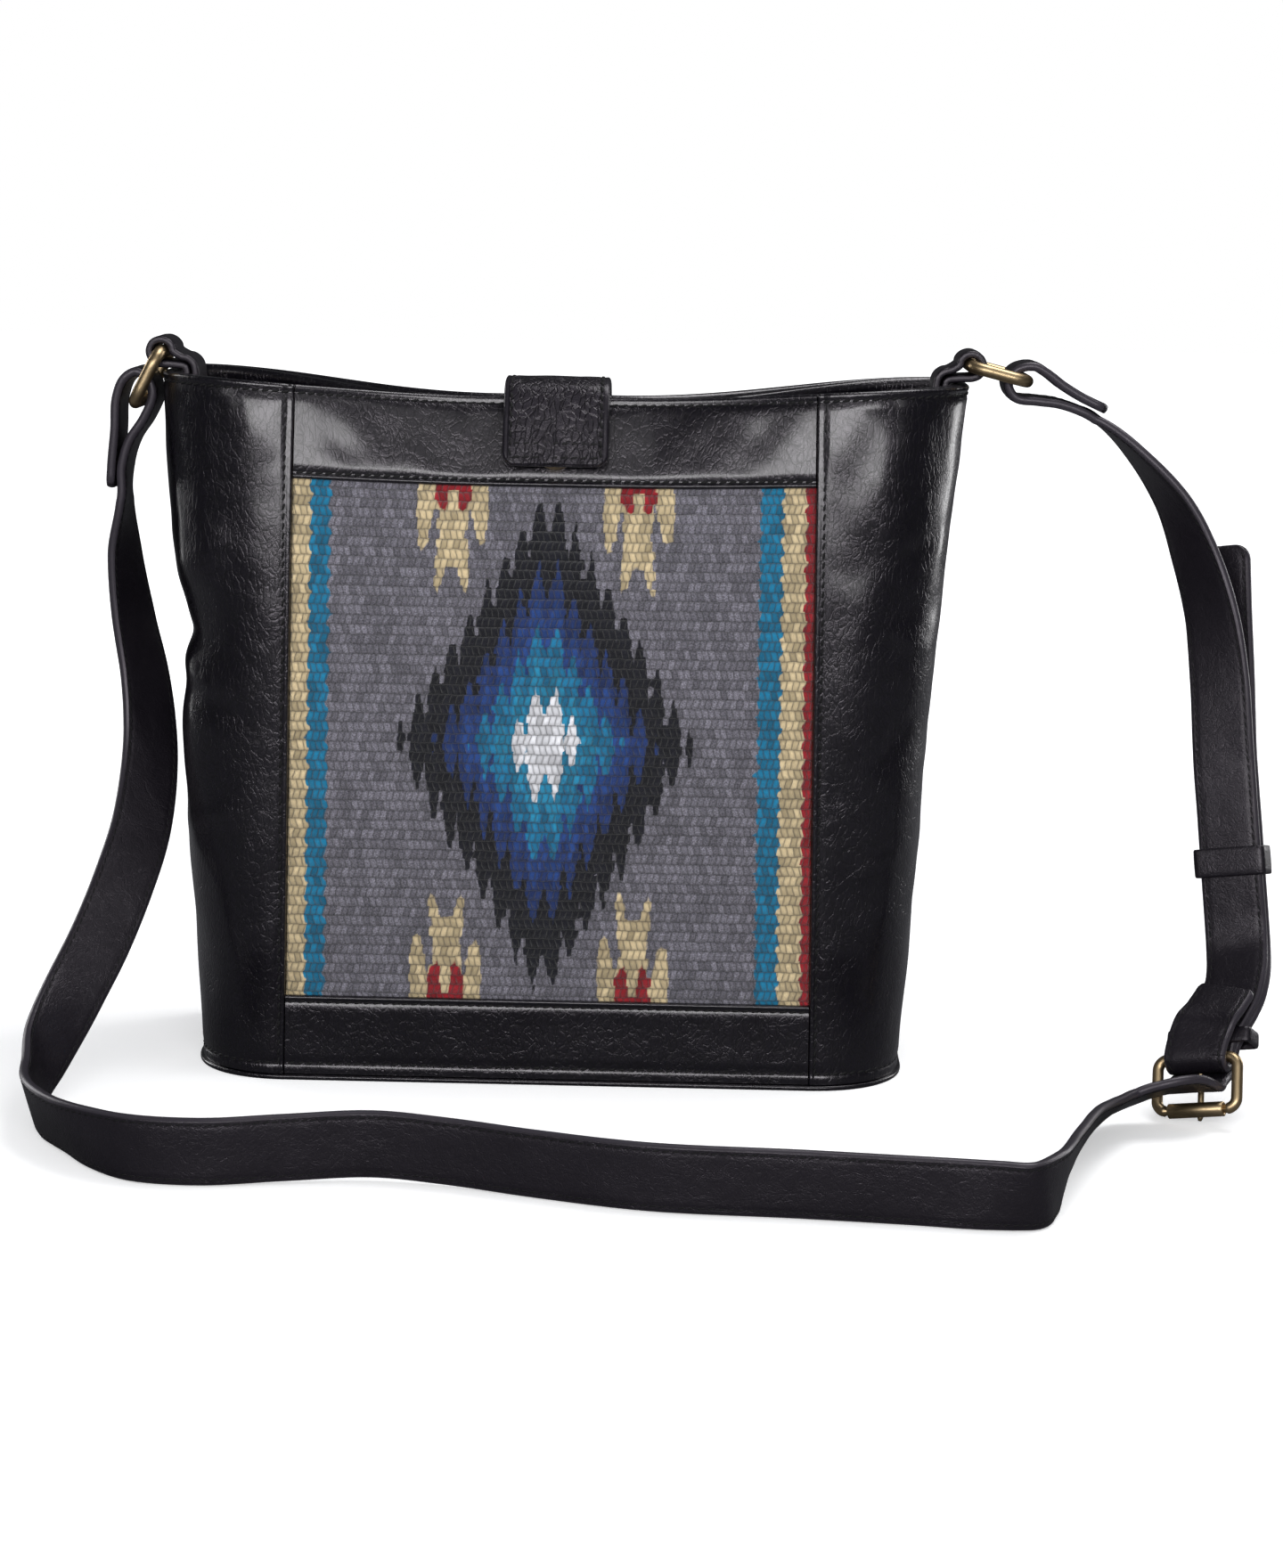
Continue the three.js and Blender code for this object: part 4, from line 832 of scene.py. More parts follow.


# Yarn: rows of round lumps, every second row moved by half a lump and slanted the other way; a lump's
# height is the square root of the product of two parabolas, one across it and one up it. Shade, the
# square root of that height, is painted shade between the lumps. Chance is one random number for each lump.
def makeYarnGroup():
    group, given, result = makeGroup(
        "yarnLumps",
        [("Vector", "NodeSocketVector", None), ("Lump", "NodeSocketFloat", weave["lump"]),
         ("Rib", "NodeSocketFloat", weave["rib"])],
        [("Height", "NodeSocketFloat"), ("Shade", "NodeSocketFloat"), ("Fibre", "NodeSocketFloat"),
         ("Chance", "NodeSocketFloat")])
    vector = given.outputs["Vector"]
    drift = node(group, "TexNoise", {"Vector": vector, "Scale": 0.3, "Detail": 2.0}).outputs["Color"]
    drift = node(group, "VectorMath", {0: drift, "Scale": 0.9}, operation="SCALE").outputs[0]
    moved = node(group, "VectorMath", {0: vector, 1: drift}, operation="ADD").outputs[0]
    parts = node(group, "SeparateXYZ", {0: moved})
    up = math2(group, "DIVIDE", parts.outputs[1], given.outputs["Rib"])
    row = math2(group, "FLOOR", up)
    odd = math2(group, "FLOORED_MODULO", row, 2.0)
    inRow = math2(group, "SUBTRACT", up, row)
    slant = math2(group, "MULTIPLY", math2(group, "SUBTRACT", inRow, 0.5), math2(
        group, "MULTIPLY", math2(group, "SUBTRACT", odd, 0.5), 0.7))
    across = math2(group, "ADD", math2(group, "DIVIDE", parts.outputs[0], given.outputs["Lump"]), math2(
        group, "ADD", slant, math2(group, "MULTIPLY", odd, 0.5)))
    inLump = math2(group, "FRACT", across)

    def bow(value):
        other = math2(group, "SUBTRACT", 1.0, value)
        return math2(group, "MULTIPLY", math2(group, "MULTIPLY", value, other), 4.0)

    lump = math2(group, "SQRT", math2(group, "MULTIPLY", bow(inLump), bow(inRow)))
    fibres = node(group, "CombineXYZ", {0: math2(group, "MULTIPLY", across, 9.0), 1: math2(
        group, "MULTIPLY", up, 2.2)}).outputs[0]
    fibre = noiseAt(group, fibres, 1.0, 4.0, 0.7)
    numbers = node(group, "CombineXYZ", {0: math2(group, "FLOOR", across), 1: row}).outputs[0]
    chance = node(group, "TexWhiteNoise", {"Vector": numbers}, noise_dimensions="2D").outputs["Value"]
    height = math2(group, "ADD", lump, math2(group, "ADD", math2(group, "MULTIPLY", fibre, 0.5), math2(
        group, "MULTIPLY", chance, 0.35)))
    # Painted shade: darkest at the edges of each lump.
    shade = math2(group, "POWER", lump, 0.5)
    for label, value in (("Height", height), ("Shade", shade), ("Fibre", fibre), ("Chance", chance)):
        group.links.new(value, result.inputs[label])
    return group


yarnGroup = makeYarnGroup()


# The yarns' dark and light tones, and which of them fills each stored distance, from the lowest up.
yarns = {
    "grey": ((58, 55, 64), (154, 151, 162)), "turquoise": ((8, 92, 134), (30, 136, 172)),
    "cream": ((176, 152, 112), (232, 214, 174)), "red": ((116, 18, 28), (176, 38, 48)),
    "black": ((9, 9, 15), (27, 27, 38)), "navy": ((20, 36, 82), (40, 64, 122)),
    "blue": ((22, 48, 108), (44, 80, 146)), "teal": ((12, 90, 136), (34, 134, 172)),
    "bright": ((16, 108, 152), (46, 152, 186)), "white": ((214, 214, 222), (252, 252, 254)),
}
yarnOrder = [
    ("stripes", 0, "turquoise"), ("stripes", 1, "cream"), ("stripes", 2, "red"), ("ornaments", 0, "cream"),
    ("ornaments", 1, "red"), ("zonesOuter", 0, "black"), ("zonesOuter", 1, "navy"), ("zonesOuter", 2, "blue"),
    ("zonesInner", 0, "teal"), ("zonesInner", 1, "bright"), ("zonesInner", 2, "white"),
]


# Colours laid over each other where their distance passes 0, with painted shade between the lumps.
def weaveMaterial():
    material, tree, shader = principled("woolWeave", {
        "Roughness": 0.92, "Sheen Weight": 0.25, "Sheen Roughness": 0.5, "Specular IOR Level": 0.2})
    uv = node(tree, "UVMap", uv_map="pieceUV").outputs[0]
    scaled = node(tree, "VectorMath", {0: uv, "Scale": 1000.0}, operation="SCALE").outputs[0]
    yarn = node(tree, "Group", node_tree=yarnGroup)
    tree.links.new(scaled, yarn.inputs["Vector"])
    yarn.inputs["Lump"].default_value = weave["lump"]
    yarn.inputs["Rib"].default_value = weave["rib"]
    fibre = yarn.outputs["Fibre"]

    def tones(factor, name):
        return mixColor(tree, factor, *(srgb(*tone) for tone in yarns[name]))

    speck = node(tree, "MapRange", {
        "Value": noiseAt(tree, scaled, 1.6, 5.0, 0.8), "From Min": 0.36, "From Max": 0.66}).outputs[0]
    color = tones(speck, "grey")
    fuzz = math2(tree, "MULTIPLY", math2(tree, "SUBTRACT", fibre, 0.5), 0.06)
    channels = {}
    for name, channel, yarnName in yarnOrder:
        if name not in channels:
            read = node(tree, "Attribute", attribute_name=name)
            channels[name] = node(tree, "SeparateColor", {0: read.outputs["Color"]})
        value = math2(tree, "ADD", channels[name].outputs[channel], fuzz)
        mask = node(tree, "MapRange", {
            "Value": value, "From Min": 0.485, "From Max": 0.515}).outputs[0]
        color = mixColor(tree, mask, color, tones(fibre, yarnName))
    # Painted shade: darker between the lumps, times a random tone for each lump.
    shade = math2(tree, "ADD", math2(tree, "MULTIPLY", yarn.outputs["Shade"], 0.85), 0.2, clamp=True)
    shade = math2(tree, "MULTIPLY", shade, math2(tree, "ADD", math2(
        tree, "MULTIPLY", yarn.outputs["Chance"], 0.66), 0.7))
    tree.links.new(mixColor(tree, 1.0, color, shade, "MULTIPLY"), shader.inputs["Base Color"])
    raiseBy(tree, shader, yarn.outputs["Height"], 1.0, 0.0011)
    return material


# The panel's face: it stands proud between the bands, and dips between ribs by the power of a sine;
# its edges run on behind the bands.
def makeWeave():
    across = crowded(2 * edge, 1 - 2 * edge, 205, 0.004)
    footTop, bandFoot = walls["footTop"], walls["bandFoot"]
    seen = np.linspace(footTop + 0.3, bandFoot - 0.3, 228)
    up = np.unique(np.concatenate([[26.0, 30.0], seen, [235.0, 238.8]]))
    k, z = np.meshgrid(across, up)
    h = heightAt(z)
    left, right = edgeDistances(skin(k, h))[:2]
    x = (k - 0.5) * weave["width"]
    middle = z - weave["middle"]
    ribs = np.abs(np.sin(np.pi * middle / weave["rib"]))
    rise = weave["stand"] * smoothStep(0, 0.8, np.minimum(left, right)) * smoothStep(
        footTop - 0.1, footTop + 0.6, z) * smoothStep(bandFoot + 0.1, bandFoot - 0.6, z)
    face = rise - weave["relief"] * (1 - ribs ** 0.8) * (rise > 0.2)
    outer = wall(k, h, walls["weaveFace"] - face)
    inner = wall(k, h, np.full(k.shape, walls["wallInner"]))
    points = np.concatenate([outer.reshape(-1, 3), inner.reshape(-1, 3)])
    uv = np.stack([x, middle], -1) * mm
    uv = np.concatenate([uv.reshape(-1, 2)] * 2)
    fields = {name: np.concatenate([values.reshape(-1, 4)] * 2)
              for name, values in weaveFields(x, middle).items()}
    makePiece("wovenPanel", points, plateFaces(*k.shape), weaveMaterial(), "bag",
              ["front_woven_panel"], uv, fields)


makeWeave()
print("woven panel made")


# A smooth curve through given places: on each stretch a cubic whose slopes come from the
# neighbours, weighted by the square roots of their distances.
def throughPlaces(controls, params):
    controls = np.asarray(controls, float)
    last = len(controls) - 1
    padded = np.vstack([2 * controls[0] - controls[1], controls, 2 * controls[-1] - controls[-2]])
    at = params * last
    index = np.minimum(np.floor(at).astype(int), last - 1)
    weight = (at - index)[:, None]
    p0, p1, p2, p3 = (padded[index + i] for i in range(4))
    gap = lambda a, b: np.sqrt(np.linalg.norm(b - a, axis=-1, keepdims=True))
    d1 = gap(p1, p2)
    d1 = np.where(d1 < 1e-4, 1.0, d1)
    d0, d2 = gap(p0, p1), gap(p2, p3)
    d0, d2 = np.where(d0 < 1e-4, d1, d0), np.where(d2 < 1e-4, d1, d2)
    t1 = ((p1 - p0) / d0 - (p2 - p0) / (d0 + d1) + (p2 - p1) / d1) * d1
    t2 = ((p2 - p1) / d1 - (p3 - p1) / (d1 + d2) + (p3 - p2) / d2) * d1
    return p1 + t1 * weight + (3 * (p2 - p1) - 2 * t1 - t2) * weight ** 2 + (
        2 * (p1 - p2) + t1 + t2) * weight ** 3


# A strip's stations: centre, direction across, and direction of its face, along the curve; its
# half width shrinks along a quarter circle at a rounded end.
def stripStations(places, sides, perSegment, halfWidth, cornerStart=0.0, cornerEnd=0.0):
    params = np.linspace(0, 1, (len(places) - 1) * perSegment + 1)
    run = runLength(throughPlaces(places, params))
    shares = np.array([1, 0.75, 0.5, 0.3, 0.15, 0.06, 0.01])
    extra = [run[-1] - cornerEnd * shares] * bool(cornerEnd) + [cornerStart * shares] * bool(cornerStart)
    if extra:
        params = np.unique(np.concatenate([params, np.interp(np.concatenate(extra), run, params)]))
    centre = throughPlaces(places, params)
    run = runLength(centre)
    tangent = unit(throughPlaces(places, np.minimum(1, params + 0.001)) - throughPlaces(
        places, np.maximum(0, params - 0.001)))
    across = throughPlaces(sides, params)
    across = unit(across - (across * tangent).sum(-1, keepdims=True) * tangent)
    half = np.full(len(params), float(halfWidth))
    for corner, away in ((cornerStart, run), (cornerEnd, run[-1] - run)):
        if corner:
            short = np.clip(corner - away, 0, corner)
            half -= corner - np.sqrt(np.maximum(0.02, corner ** 2 - short ** 2))
    return {"centre": centre, "tangent": tangent, "across": across, "face": np.cross(across, tangent),
            "half": half, "run": run}


# The strip's own section: rounded edges, a shallow groove under each row of stitches, and a
# slightly raised middle, as (place across, height) in mm.
def stripSection(halfWidth, thickness, edgeRound, stitchInset, crown):
    turn = np.linspace(-np.pi / 2, np.pi / 2, 9)
    edgeA = halfWidth - edgeRound + edgeRound * np.cos(turn)
    edgeB = (thickness / 2) * np.sin(turn)
    flat = np.linspace(halfWidth - edgeRound, -(halfWidth - edgeRound), 23)[1:-1]
    lift = crown * (1 - (flat / halfWidth) ** 2)
    for place in (halfWidth - stitchInset, stitchInset - halfWidth):
        lift = lift - groove(flat, place, 0.7, 0.25)
    top = np.stack([flat, thickness / 2 + lift], -1)
    right = np.stack([edgeA, edgeB], -1)
    return np.concatenate([right, top, -right, -top])


# The section carried along the stations, with both ends rounded and closed; wrinkles are waves.
def stripPiece(name, stations, material, body, section, replaced, wrinkle, seed):
    half0 = section[:, 0].max()
    share = section[None, :, 0] / half0
    inset = half0 - stations["half"][:, None]
    a = section[None, :, 0] - np.sign(section[None, :, 0]) * np.minimum(inset, np.abs(section[None, :, 0]))
    b = np.repeat(section[None, :, 1], len(stations["run"]), 0)
    thin = np.ones(len(stations["run"]))
    for away in (stations["run"], stations["run"][-1] - stations["run"]):
        thin *= np.sqrt(np.clip(1 - (1 - np.clip(away / 0.8, 0, 1)) ** 2, 0.12, 1))
    b = b * thin[:, None]
    points = stations["centre"][:, None] + stations["across"][:, None] * a[..., None] \
        + stations["face"][:, None] * b[..., None]
    points = points + stations["face"][:, None] * (wrinkle * waves(points, seed, 14) * (
        np.abs(share) < 0.97))[..., None]
    rows, columns = b.shape
    uv = np.stack([np.repeat(stations["run"][:, None], columns, 1), a], -1) * mm
    faces = [gridQuads(rows, columns, closeColumns=True)]
    cap = np.arange(columns)[None]
    faces += [cap[:, ::-1], cap + (rows - 1) * columns]
    return makePiece(name, points, faces, material, body, [replaced], uv.reshape(-1, 2))


# Closure tab, over both rims from its sewn end on the back to its rounded end on the front.
tab = {"half": 20.0, "thick": 3.2, "offset": 5.5, "frontBottom": 235.0, "frontLength": 33.0,
       "backBottom": 264.0, "corner": 5.0, "arch": 3.2, "stitch": 3.0, "snapStitch": 8.4, "crossInset": 3.6,
       "wrinkle": 0.14}


# The share of the wall's height at a height in mm, at the middle of the front, where the rim dips.
def frontHeight(z):
    return heightAt(z + bag["rimDip"] * pinchUp(heightAt(z)))


# A place in front of the wall's middle.
def onFront(z):
    return wall(0.5, frontHeight(z), np.array(-tab["offset"]))


frontRim, backRim = skin(0.5, 1.0), skin(4.5, 1.0)
tabRest = walls["gap"] + tab["thick"] / 2
tabTop = frontRim[2] + tabRest + tab["arch"]
tabPlaces = [
    wall(4.5, heightAt(tab["backBottom"]), np.array(-tabRest - 0.1)),
    wall(4.5, 1.0, np.array(-tabRest - 0.4)),
    (0, backRim[1], backRim[2] + tabRest + 1.4),
    (0, backRim[1] + 0.4 * (frontRim[1] - backRim[1]), tabTop),
    (0, frontRim[1] + 3, tabTop - 0.2),
    (0, frontRim[1] - tab["offset"] * 0.62, frontRim[2] + tab["offset"] * 0.45),
    onFront(bag["height"] - 14), onFront(tab["frontBottom"] + tab["frontLength"] * 0.3),
    onFront(tab["frontBottom"]),
]
tabStations = stripStations(tabPlaces, [(1, 0, 0)] * len(tabPlaces), 14, tab["half"], 0, tab["corner"])
tabSection = stripSection(tab["half"], tab["thick"], 1.2, tab["stitch"], 0.25)
stripPiece("leatherTab", tabStations, tabLeather, "closure_tab", tabSection, "closure_tab", tab["wrinkle"], 5)


# Stitches along a strip, an inset away from one of its edges, on the face that sign names.
def stripStitches(name, stations, side, inset, thickness, body, sign=1, trim=(2.0, 2.0), **changes):
    run = stations["run"]
    keep = (run > trim[0]) & (run < run[-1] - trim[1])
    path = stations["centre"] + stations["across"] * (side * (stations["half"] - inset))[:, None] \
        + stations["face"] * (sign * (thickness / 2 - 0.12))
    values = {**thread, "body": body, **changes}
    return stitchLine(name, path[keep], (stations["face"] * sign)[keep], **values)


for side, label in ((1, "Right"), (-1, "Left")):
    stripStitches("stitchTab" + label, tabStations, side, tab["stitch"], tab["thick"], "closure_tab", sign=-1,
                  trim=(2.0, 3.0))


# A straight line of stitches across the tab, a distance from its end.
def tabCrossStitch(name, away, half):
    at = tabStations["run"][-1] - away
    centre, face = (along3(at, tabStations["run"], tabStations[key]) for key in ("centre", "face"))
    x = np.linspace(-half, half, 40)
    path = centre[None] + np.stack([x, 0 * x, 0 * x], -1) - face[None] * (tab["thick"] / 2 - 0.1)
    stitchLine(name, path, np.repeat(-face[None], 40, 0), body="closure_tab", **thread)


for label, away in (("End", tab["stitch"]), ("Snap", tab["snapStitch"])):
    tabCrossStitch("stitchTab" + label, away, tab["half"] - tab["crossInset"])
print("closure tab made")


# Round wires: rings of points carried along a path that closes on itself or ends.
def wire(name, path, radius, upright, body, replaced, closed=True, sides=20):
    path = np.asarray(path, float)
    radius = np.broadcast_to(radius, len(path))
    tangent = unit(np.roll(path, -1, 0) - np.roll(path, 1, 0) if closed else np.gradient(path, axis=0))
    upright = np.broadcast_to(upright, path.shape)
    across = unit(np.cross(tangent, upright))
    angle = np.arange(sides) * 2 * np.pi / sides
    points = path[:, None] + radius[:, None, None] * (
        across[:, None] * np.cos(angle)[None, :, None] + upright[:, None] * np.sin(angle)[None, :, None])
    rows = len(path)
    faces = [gridQuads(rows, sides, closeRows=closed, closeColumns=True)]
    if not closed:
        cap = np.arange(sides)[None]
        faces += [cap[:, ::-1], cap + (rows - 1) * sides]
    makePiece(name, points, faces, brushedBrass, body, [replaced])


# Four quarter circles joined by straight sides; it starts at the origin and reaches along. The end
# and side of each corner say where it lies.
def roundedLoop(origin, along, across, length, width, corner, perCorner=10, perSide=8):
    points = []
    for i, (end, side) in enumerate([(0, 1), (1, 1), (1, -1), (0, -1)]):
        angle = np.pi - i * np.pi / 2 - np.linspace(0, np.pi / 2, perCorner)
        a = (length - corner if end else corner) + corner * np.cos(angle)
        b = side * (width / 2 - corner) + corner * np.sin(angle)
        points.append(origin + a[:, None] * along + b[:, None] * across)
    filled = []
    for i, part in enumerate(points):
        filled.append(part)
        nextPart = points[(i + 1) % 4]
        t = np.linspace(0, 1, perSide + 2)[1:-1, None]
        filled.append(part[-1] + (nextPart[0] - part[-1]) * t)
    return np.concatenate(filled)


# Rings: left and right are their turns about the rim's ends, in degrees, at rest.
rings = {"wire": 2.4, "innerWidth": 26.0, "reach": 22.0, "rise": 7.3, "corner": 6.0,
         "left": 207.0, "right": -14.0}
ringWidth = rings["innerWidth"] + 2 * rings["wire"]
yAxis = np.array([0.0, 1.0, 0.0])
for label, sign in (("left", -1), ("right", 1)):
    turn = math.radians(rings[label])
    reach = np.array([math.cos(turn), 0, math.sin(turn)] if sign > 0 else [math.sin(turn), 0, math.cos(turn)])
    pivot = np.array([sign * float(sideAt(1.0, sign)), 0, bag["height"] + rings["rise"]])
    loop = roundedLoop(pivot, reach, yAxis, rings["reach"], ringWidth, rings["corner"])
    wire("brassRing" + label.title(), loop, rings["wire"], unit(np.cross(reach, yAxis)), "ring_" + label,
         "ring_" + label)

ringTab = {"half": 11.0, "thick": 2.8, "sewn": 24.0, "clear": 0.3, "layerGap": 0.4, "neck": 9.0,
           "wrinkle": 0.06}


# A place on a circle, by its angle.
def about(middle, radius, degrees):
    angle = math.radians(degrees)
    return [middle[0] + radius * math.cos(angle), middle[1] + radius * math.sin(angle)]


# Up inside the rim, round the ring's bar and down inside again: two arcs about the rim's corner and
# one about the bar.
def ringTabPlaces(sign):
    rimEnd = float(sideAt(1.0, sign))
    corner = [rimEnd - facingInner - 1.5, bag["height"] + 0.3]
    bar = [rimEnd, bag["height"] + rings["rise"]]
    near = ringTab["clear"] + ringTab["thick"] / 2 + 0.1
    far = near + ringTab["thick"] + ringTab["layerGap"] + 0.1
    barRadius = rings["wire"] + ringTab["clear"] + ringTab["thick"] / 2 + 0.45
    foot, neck = bag["height"] - ringTab["sewn"], bag["height"] - ringTab["neck"]
    lean = rimEnd - float(sideAt(heightAt(foot), sign))
    places = [[corner[0] - far - lean, foot], [corner[0] - far - lean * 0.4, neck]]
    places += [about(corner, far, d) for d in (180, 155, 135, 112, 92)]
    places += [about(bar, barRadius, d) for d in (176, 150, 120, 85, 45, 0, -45, -80)]
    places += [[bar[0] - 3.5, corner[1] + near + 0.4]]
    places += [about(corner, near, d) for d in (90, 135, 180)]
    places += [[corner[0] - near - lean * 0.4, neck], [corner[0] - near - lean, foot]]
    return places


for label, sign in (("Left", -1), ("Right", 1)):
    places = [(sign * x, 0, z) for x, z in ringTabPlaces(sign)]
    stations = stripStations(places, [(0, 1, 0)] * len(places), 7, ringTab["half"])
    section = stripSection(ringTab["half"], ringTab["thick"], 1.0, 2.6, 0.1)
    stripPiece("leatherRingTab" + label, stations, strapLeather, "bag", section, "ring_tab_" + label.lower(),
               ringTab["wrinkle"], 3)
print("rings and their tabs made")


# Strap and buckle, on the CAD part's own places.
strap = {"half": 12.0, "thick": 3.4, "layerGap": 0.4, "tailCorner": 6.0, "stitch": 2.3, "wrinkle": 0.05,
         "thread": {"pitch": 3.3, "length": 2.7, "radius": 0.33}}
layerPitch = strap["thick"] + strap["layerGap"]
buckle = {"wire": 2.1, "barWire": 1.6, "innerWidth": 27.0, "reach": 20.0, "corner": 4.0, "prong": 1.2,
          "clear": 0.3, "rollerWall": 0.9}
foldRadius = buckle["wire"] + 0.3 + strap["thick"] / 2
rollerCentre = np.array([244, -90.5, 6.4])
alongRoller = unit(np.array([0.87, -0.45, 0.2]))
upStrap = np.array([0.07, 0.5, 0.86])
upStrap = unit(upStrap - upStrap @ alongRoller * alongRoller)
farSide = np.cross(upStrap, alongRoller)
foldBar = rollerCentre + upStrap * buckle["reach"]


# A place in the buckle's own directions.
def inBuckle(up, out, along=0.0):
    return foldBar + upStrap * up + farSide * out + alongRoller * along


# The short strap: its turned end round the right ring, down to a straight run, then to the buckle,
# round its bar and up again. Each place has its direction across.
straightFoot, straightTop = np.array([262.4, -51.5, 62]), np.array([256.6, -34.3, 132])
straightDir = unit(straightFoot - straightTop)
straightAcross = np.array([0.9, -0.42, 0.165])
straightAcross = unit(straightAcross - straightAcross @ straightDir * straightDir)
straightFace = np.cross(straightAcross, straightDir)

shortLoop = [(210.1, 259.4), (201.3, 263.5), (193.1, 268.2), (186.9, 272.8), (181.1, 275.6), (174.5, 273.9),
             (171.7, 268.6), (174.7, 263.6), (183.1, 262.4), (191.3, 261.5), (200.1, 258.7), (208.3, 254.6)]
shortPlaces = [((x, 0, z), (0, -1, 0)) for x, z in shortLoop]
shortPlaces += [
    ((223, -6, 241.6), (0.15, -0.98, 0.1)), ((236.7, -10, 224.2), (0.4, -0.9, 0.15)),
    ((245.1, -14, 205.4), (0.6, -0.78, 0.16)), ((251.5, -20, 184), (0.72, -0.68, 0.165)),
    ((254.9, -27, 159), (0.85, -0.5, 0.165)),
]
sharedStart = len(shortPlaces)
shortPlaces += [(straightTop + (straightFoot - straightTop) * t, straightAcross) for t in (0, 0.33, 0.67, 1)]
foldEase, foldShift = 0.35, 0.3
foldDown = [(37, 10.7, 10.3), (27, 8, 9.5), (20, 5.9, 7), (14, 4.3, 4.4), (8, foldRadius - foldEase, 1.9)]
foldUp = [(8, -foldRadius + foldEase, 1.9), (14, -3.2, 4.4), (20, -0.3, 7), (28, 4.2, 9.6)]
shortPlaces += [(inBuckle(*p), alongRoller) for p in foldDown]
sharedEnd = len(shortPlaces) - 1
shortPlaces += [(inBuckle(-foldRadius * math.sin(t * math.pi / 8), foldRadius * math.cos(t * math.pi / 8),
                          foldShift), alongRoller) for t in range(9)]
shortPlaces += [(inBuckle(*p), alongRoller) for p in foldUp]


# Centres and directions across, as two arrays.
def splitPlaces(places):
    return (np.array(part, float) for part in zip(*places))


centres, sides = splitPlaces(shortPlaces)
shortStations = stripStations(centres, sides, 8, strap["half"], 5.0, 3.0)
sharedOnes = stripStations(centres, sides, 2, strap["half"])
picked = slice(sharedStart * 2, sharedEnd * 2 + 1)
besideShort = [(c + f * layerPitch, -w) for c, f, w in zip(
    sharedOnes["centre"][picked][::-1], sharedOnes["face"][picked][::-1], sharedOnes["across"][picked][::-1])]

# The long strap: its turned end round the left ring, down to the floor, along it in front of the bag,
# back to the buckle, through it and up behind the short strap, a layer's pitch away from it.
longLoop = [(-173.2, 222.4), (-172.6, 231), (-171.2, 245), (-170.5, 257), (-167.6, 264.3), (-162.6, 267.4),
            (-158.2, 264.6), (-156.4, 258.5), (-160, 249.6), (-165.6, 240.9), (-168.5, 231.2),
            (-169.3, 217.3)]
longPlaces = [((x, 0.3, z), (0, 1, 0)) for x, z in longLoop]
longPlaces += [
    ((-169.8, 1, 198), (0.3, 0.95, 0)), ((-166.5, 0, 172), (0.5, 0.86, 0)),
    ((-161.5, -3, 148), (0.62, 0.78, 0)), ((-158.4, -11, 122), (0.74, 0.67, 0)),
    ((-159, -28, 95), (0.85, 0.5, -0.1)), ((-163.4, -45, 74.8), (0.9, 0.4, -0.15)),
    ((-170, -60, 55.2), (0.9, 0.3, -0.3)), ((-177.5, -76, 38), (0.8, 0.2, -0.55)),
    ((-183.5, -95, 23), (0.55, 0.25, -0.8)), ((-184.8, -117, 13.8), (0.15, 0.35, -0.93)),
    ((-179.8, -138, 12.3), (0.25, 0.15, -0.96)), ((-168, -158, 12.2), (0.36, 0.1, -0.92)),
    ((-154.5, -174, 12.2), (0.3, 0, -0.95)), ((-137, -186, 12.2), (0.1, 0, -1)),
]
floorRun = [(-112, -189, 12.2), (-84, -184, 12.8), (-54, -180, 13.6), (-28, -184, 12.8), (4, -194.5, 12.2),
            (42, -206, 12.2), (94, -210.5, 12.2), (129, -214.5, 12.2), (158, -218, 12.2)]
longPlaces += [(p, (0, 0, -1)) for p in floorRun]
longPlaces += [
    ((171.5, -217.5, 12.2), (0.12, 0.12, -0.98)), ((179.9, -204, 12.3), (-0.1, 0.03, -0.99)),
    ((186.9, -177, 12.3), (-0.28, 0.07, -0.96)), ((195.5, -146, 12.1), (-0.42, 0.14, -0.9)),
    ((205, -117, 10.4), (-0.6, 0.33, -0.73)), ((215, -101, 11.8), (-0.55, 0.6, -0.6)),
    ((226, -98, 15.6), (-0.28, 0.82, -0.48)), ((236, -96.5, 17.6), (-0.6, 0.68, -0.42)),
]
throughBuckle = [(-12.6, -4, 0), (-10.2, -0.6, 0), (-7.4, 3.1, 0), (-4.3, 6.7, foldShift),
                 (0, foldRadius + layerPitch + 0.15, foldShift)]
longPlaces += [(inBuckle(*place), -alongRoller) for place in throughBuckle]
longPlaces += besideShort
longPlaces += [((258.3, -18.5, 158), (-0.88, 0.45, -0.165)), ((257.6, -9.5, 182.1), (-0.87, 0.47, -0.165)),
               ((256.8, -2.5, 207.5), (-0.86, 0.49, -0.165))]
centres, sides = splitPlaces(longPlaces)
longStations = stripStations(centres, sides, 8, strap["half"], 5.0, strap["tailCorner"])

# Both straps and their stitches are baked in place and ride on no body; each row's ring and its start and end
# places are not used.
strapSection = stripSection(strap["half"], strap["thick"], 1.3, strap["stitch"], 0.12)
strapEnds = [
    ("Short", shortStations, 11, "ring_right", {"start": (0.2165, 0, 0.232), "end": (0.1915, 0, 0.259)}),
    ("Long", longStations, 12, "ring_left", {"start": (-0.160, 0, 0.190), "end": (-0.190, 0, 0.250)}),
]
for label, stations, seed, ring, ends in strapEnds:
    piece = stripPiece("leatherStrap" + label, stations, strapLeather, None, strapSection,
                       "strap_" + label.lower(), strap["wrinkle"], seed)
    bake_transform(piece)
for label, stations, seed, ring, ends in strapEnds:
    for side, edgeLabel in ((1, "Upper"), (-1, "Lower")):
        for sign, faceLabel in ((1, "Out"), (-1, "In")):
            sewn = stripStitches("stitchStrap" + label + edgeLabel + faceLabel, stations, side,
                                 strap["stitch"], strap["thick"], None, sign=sign, **strap["thread"])
            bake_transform(sewn)
print("straps made")

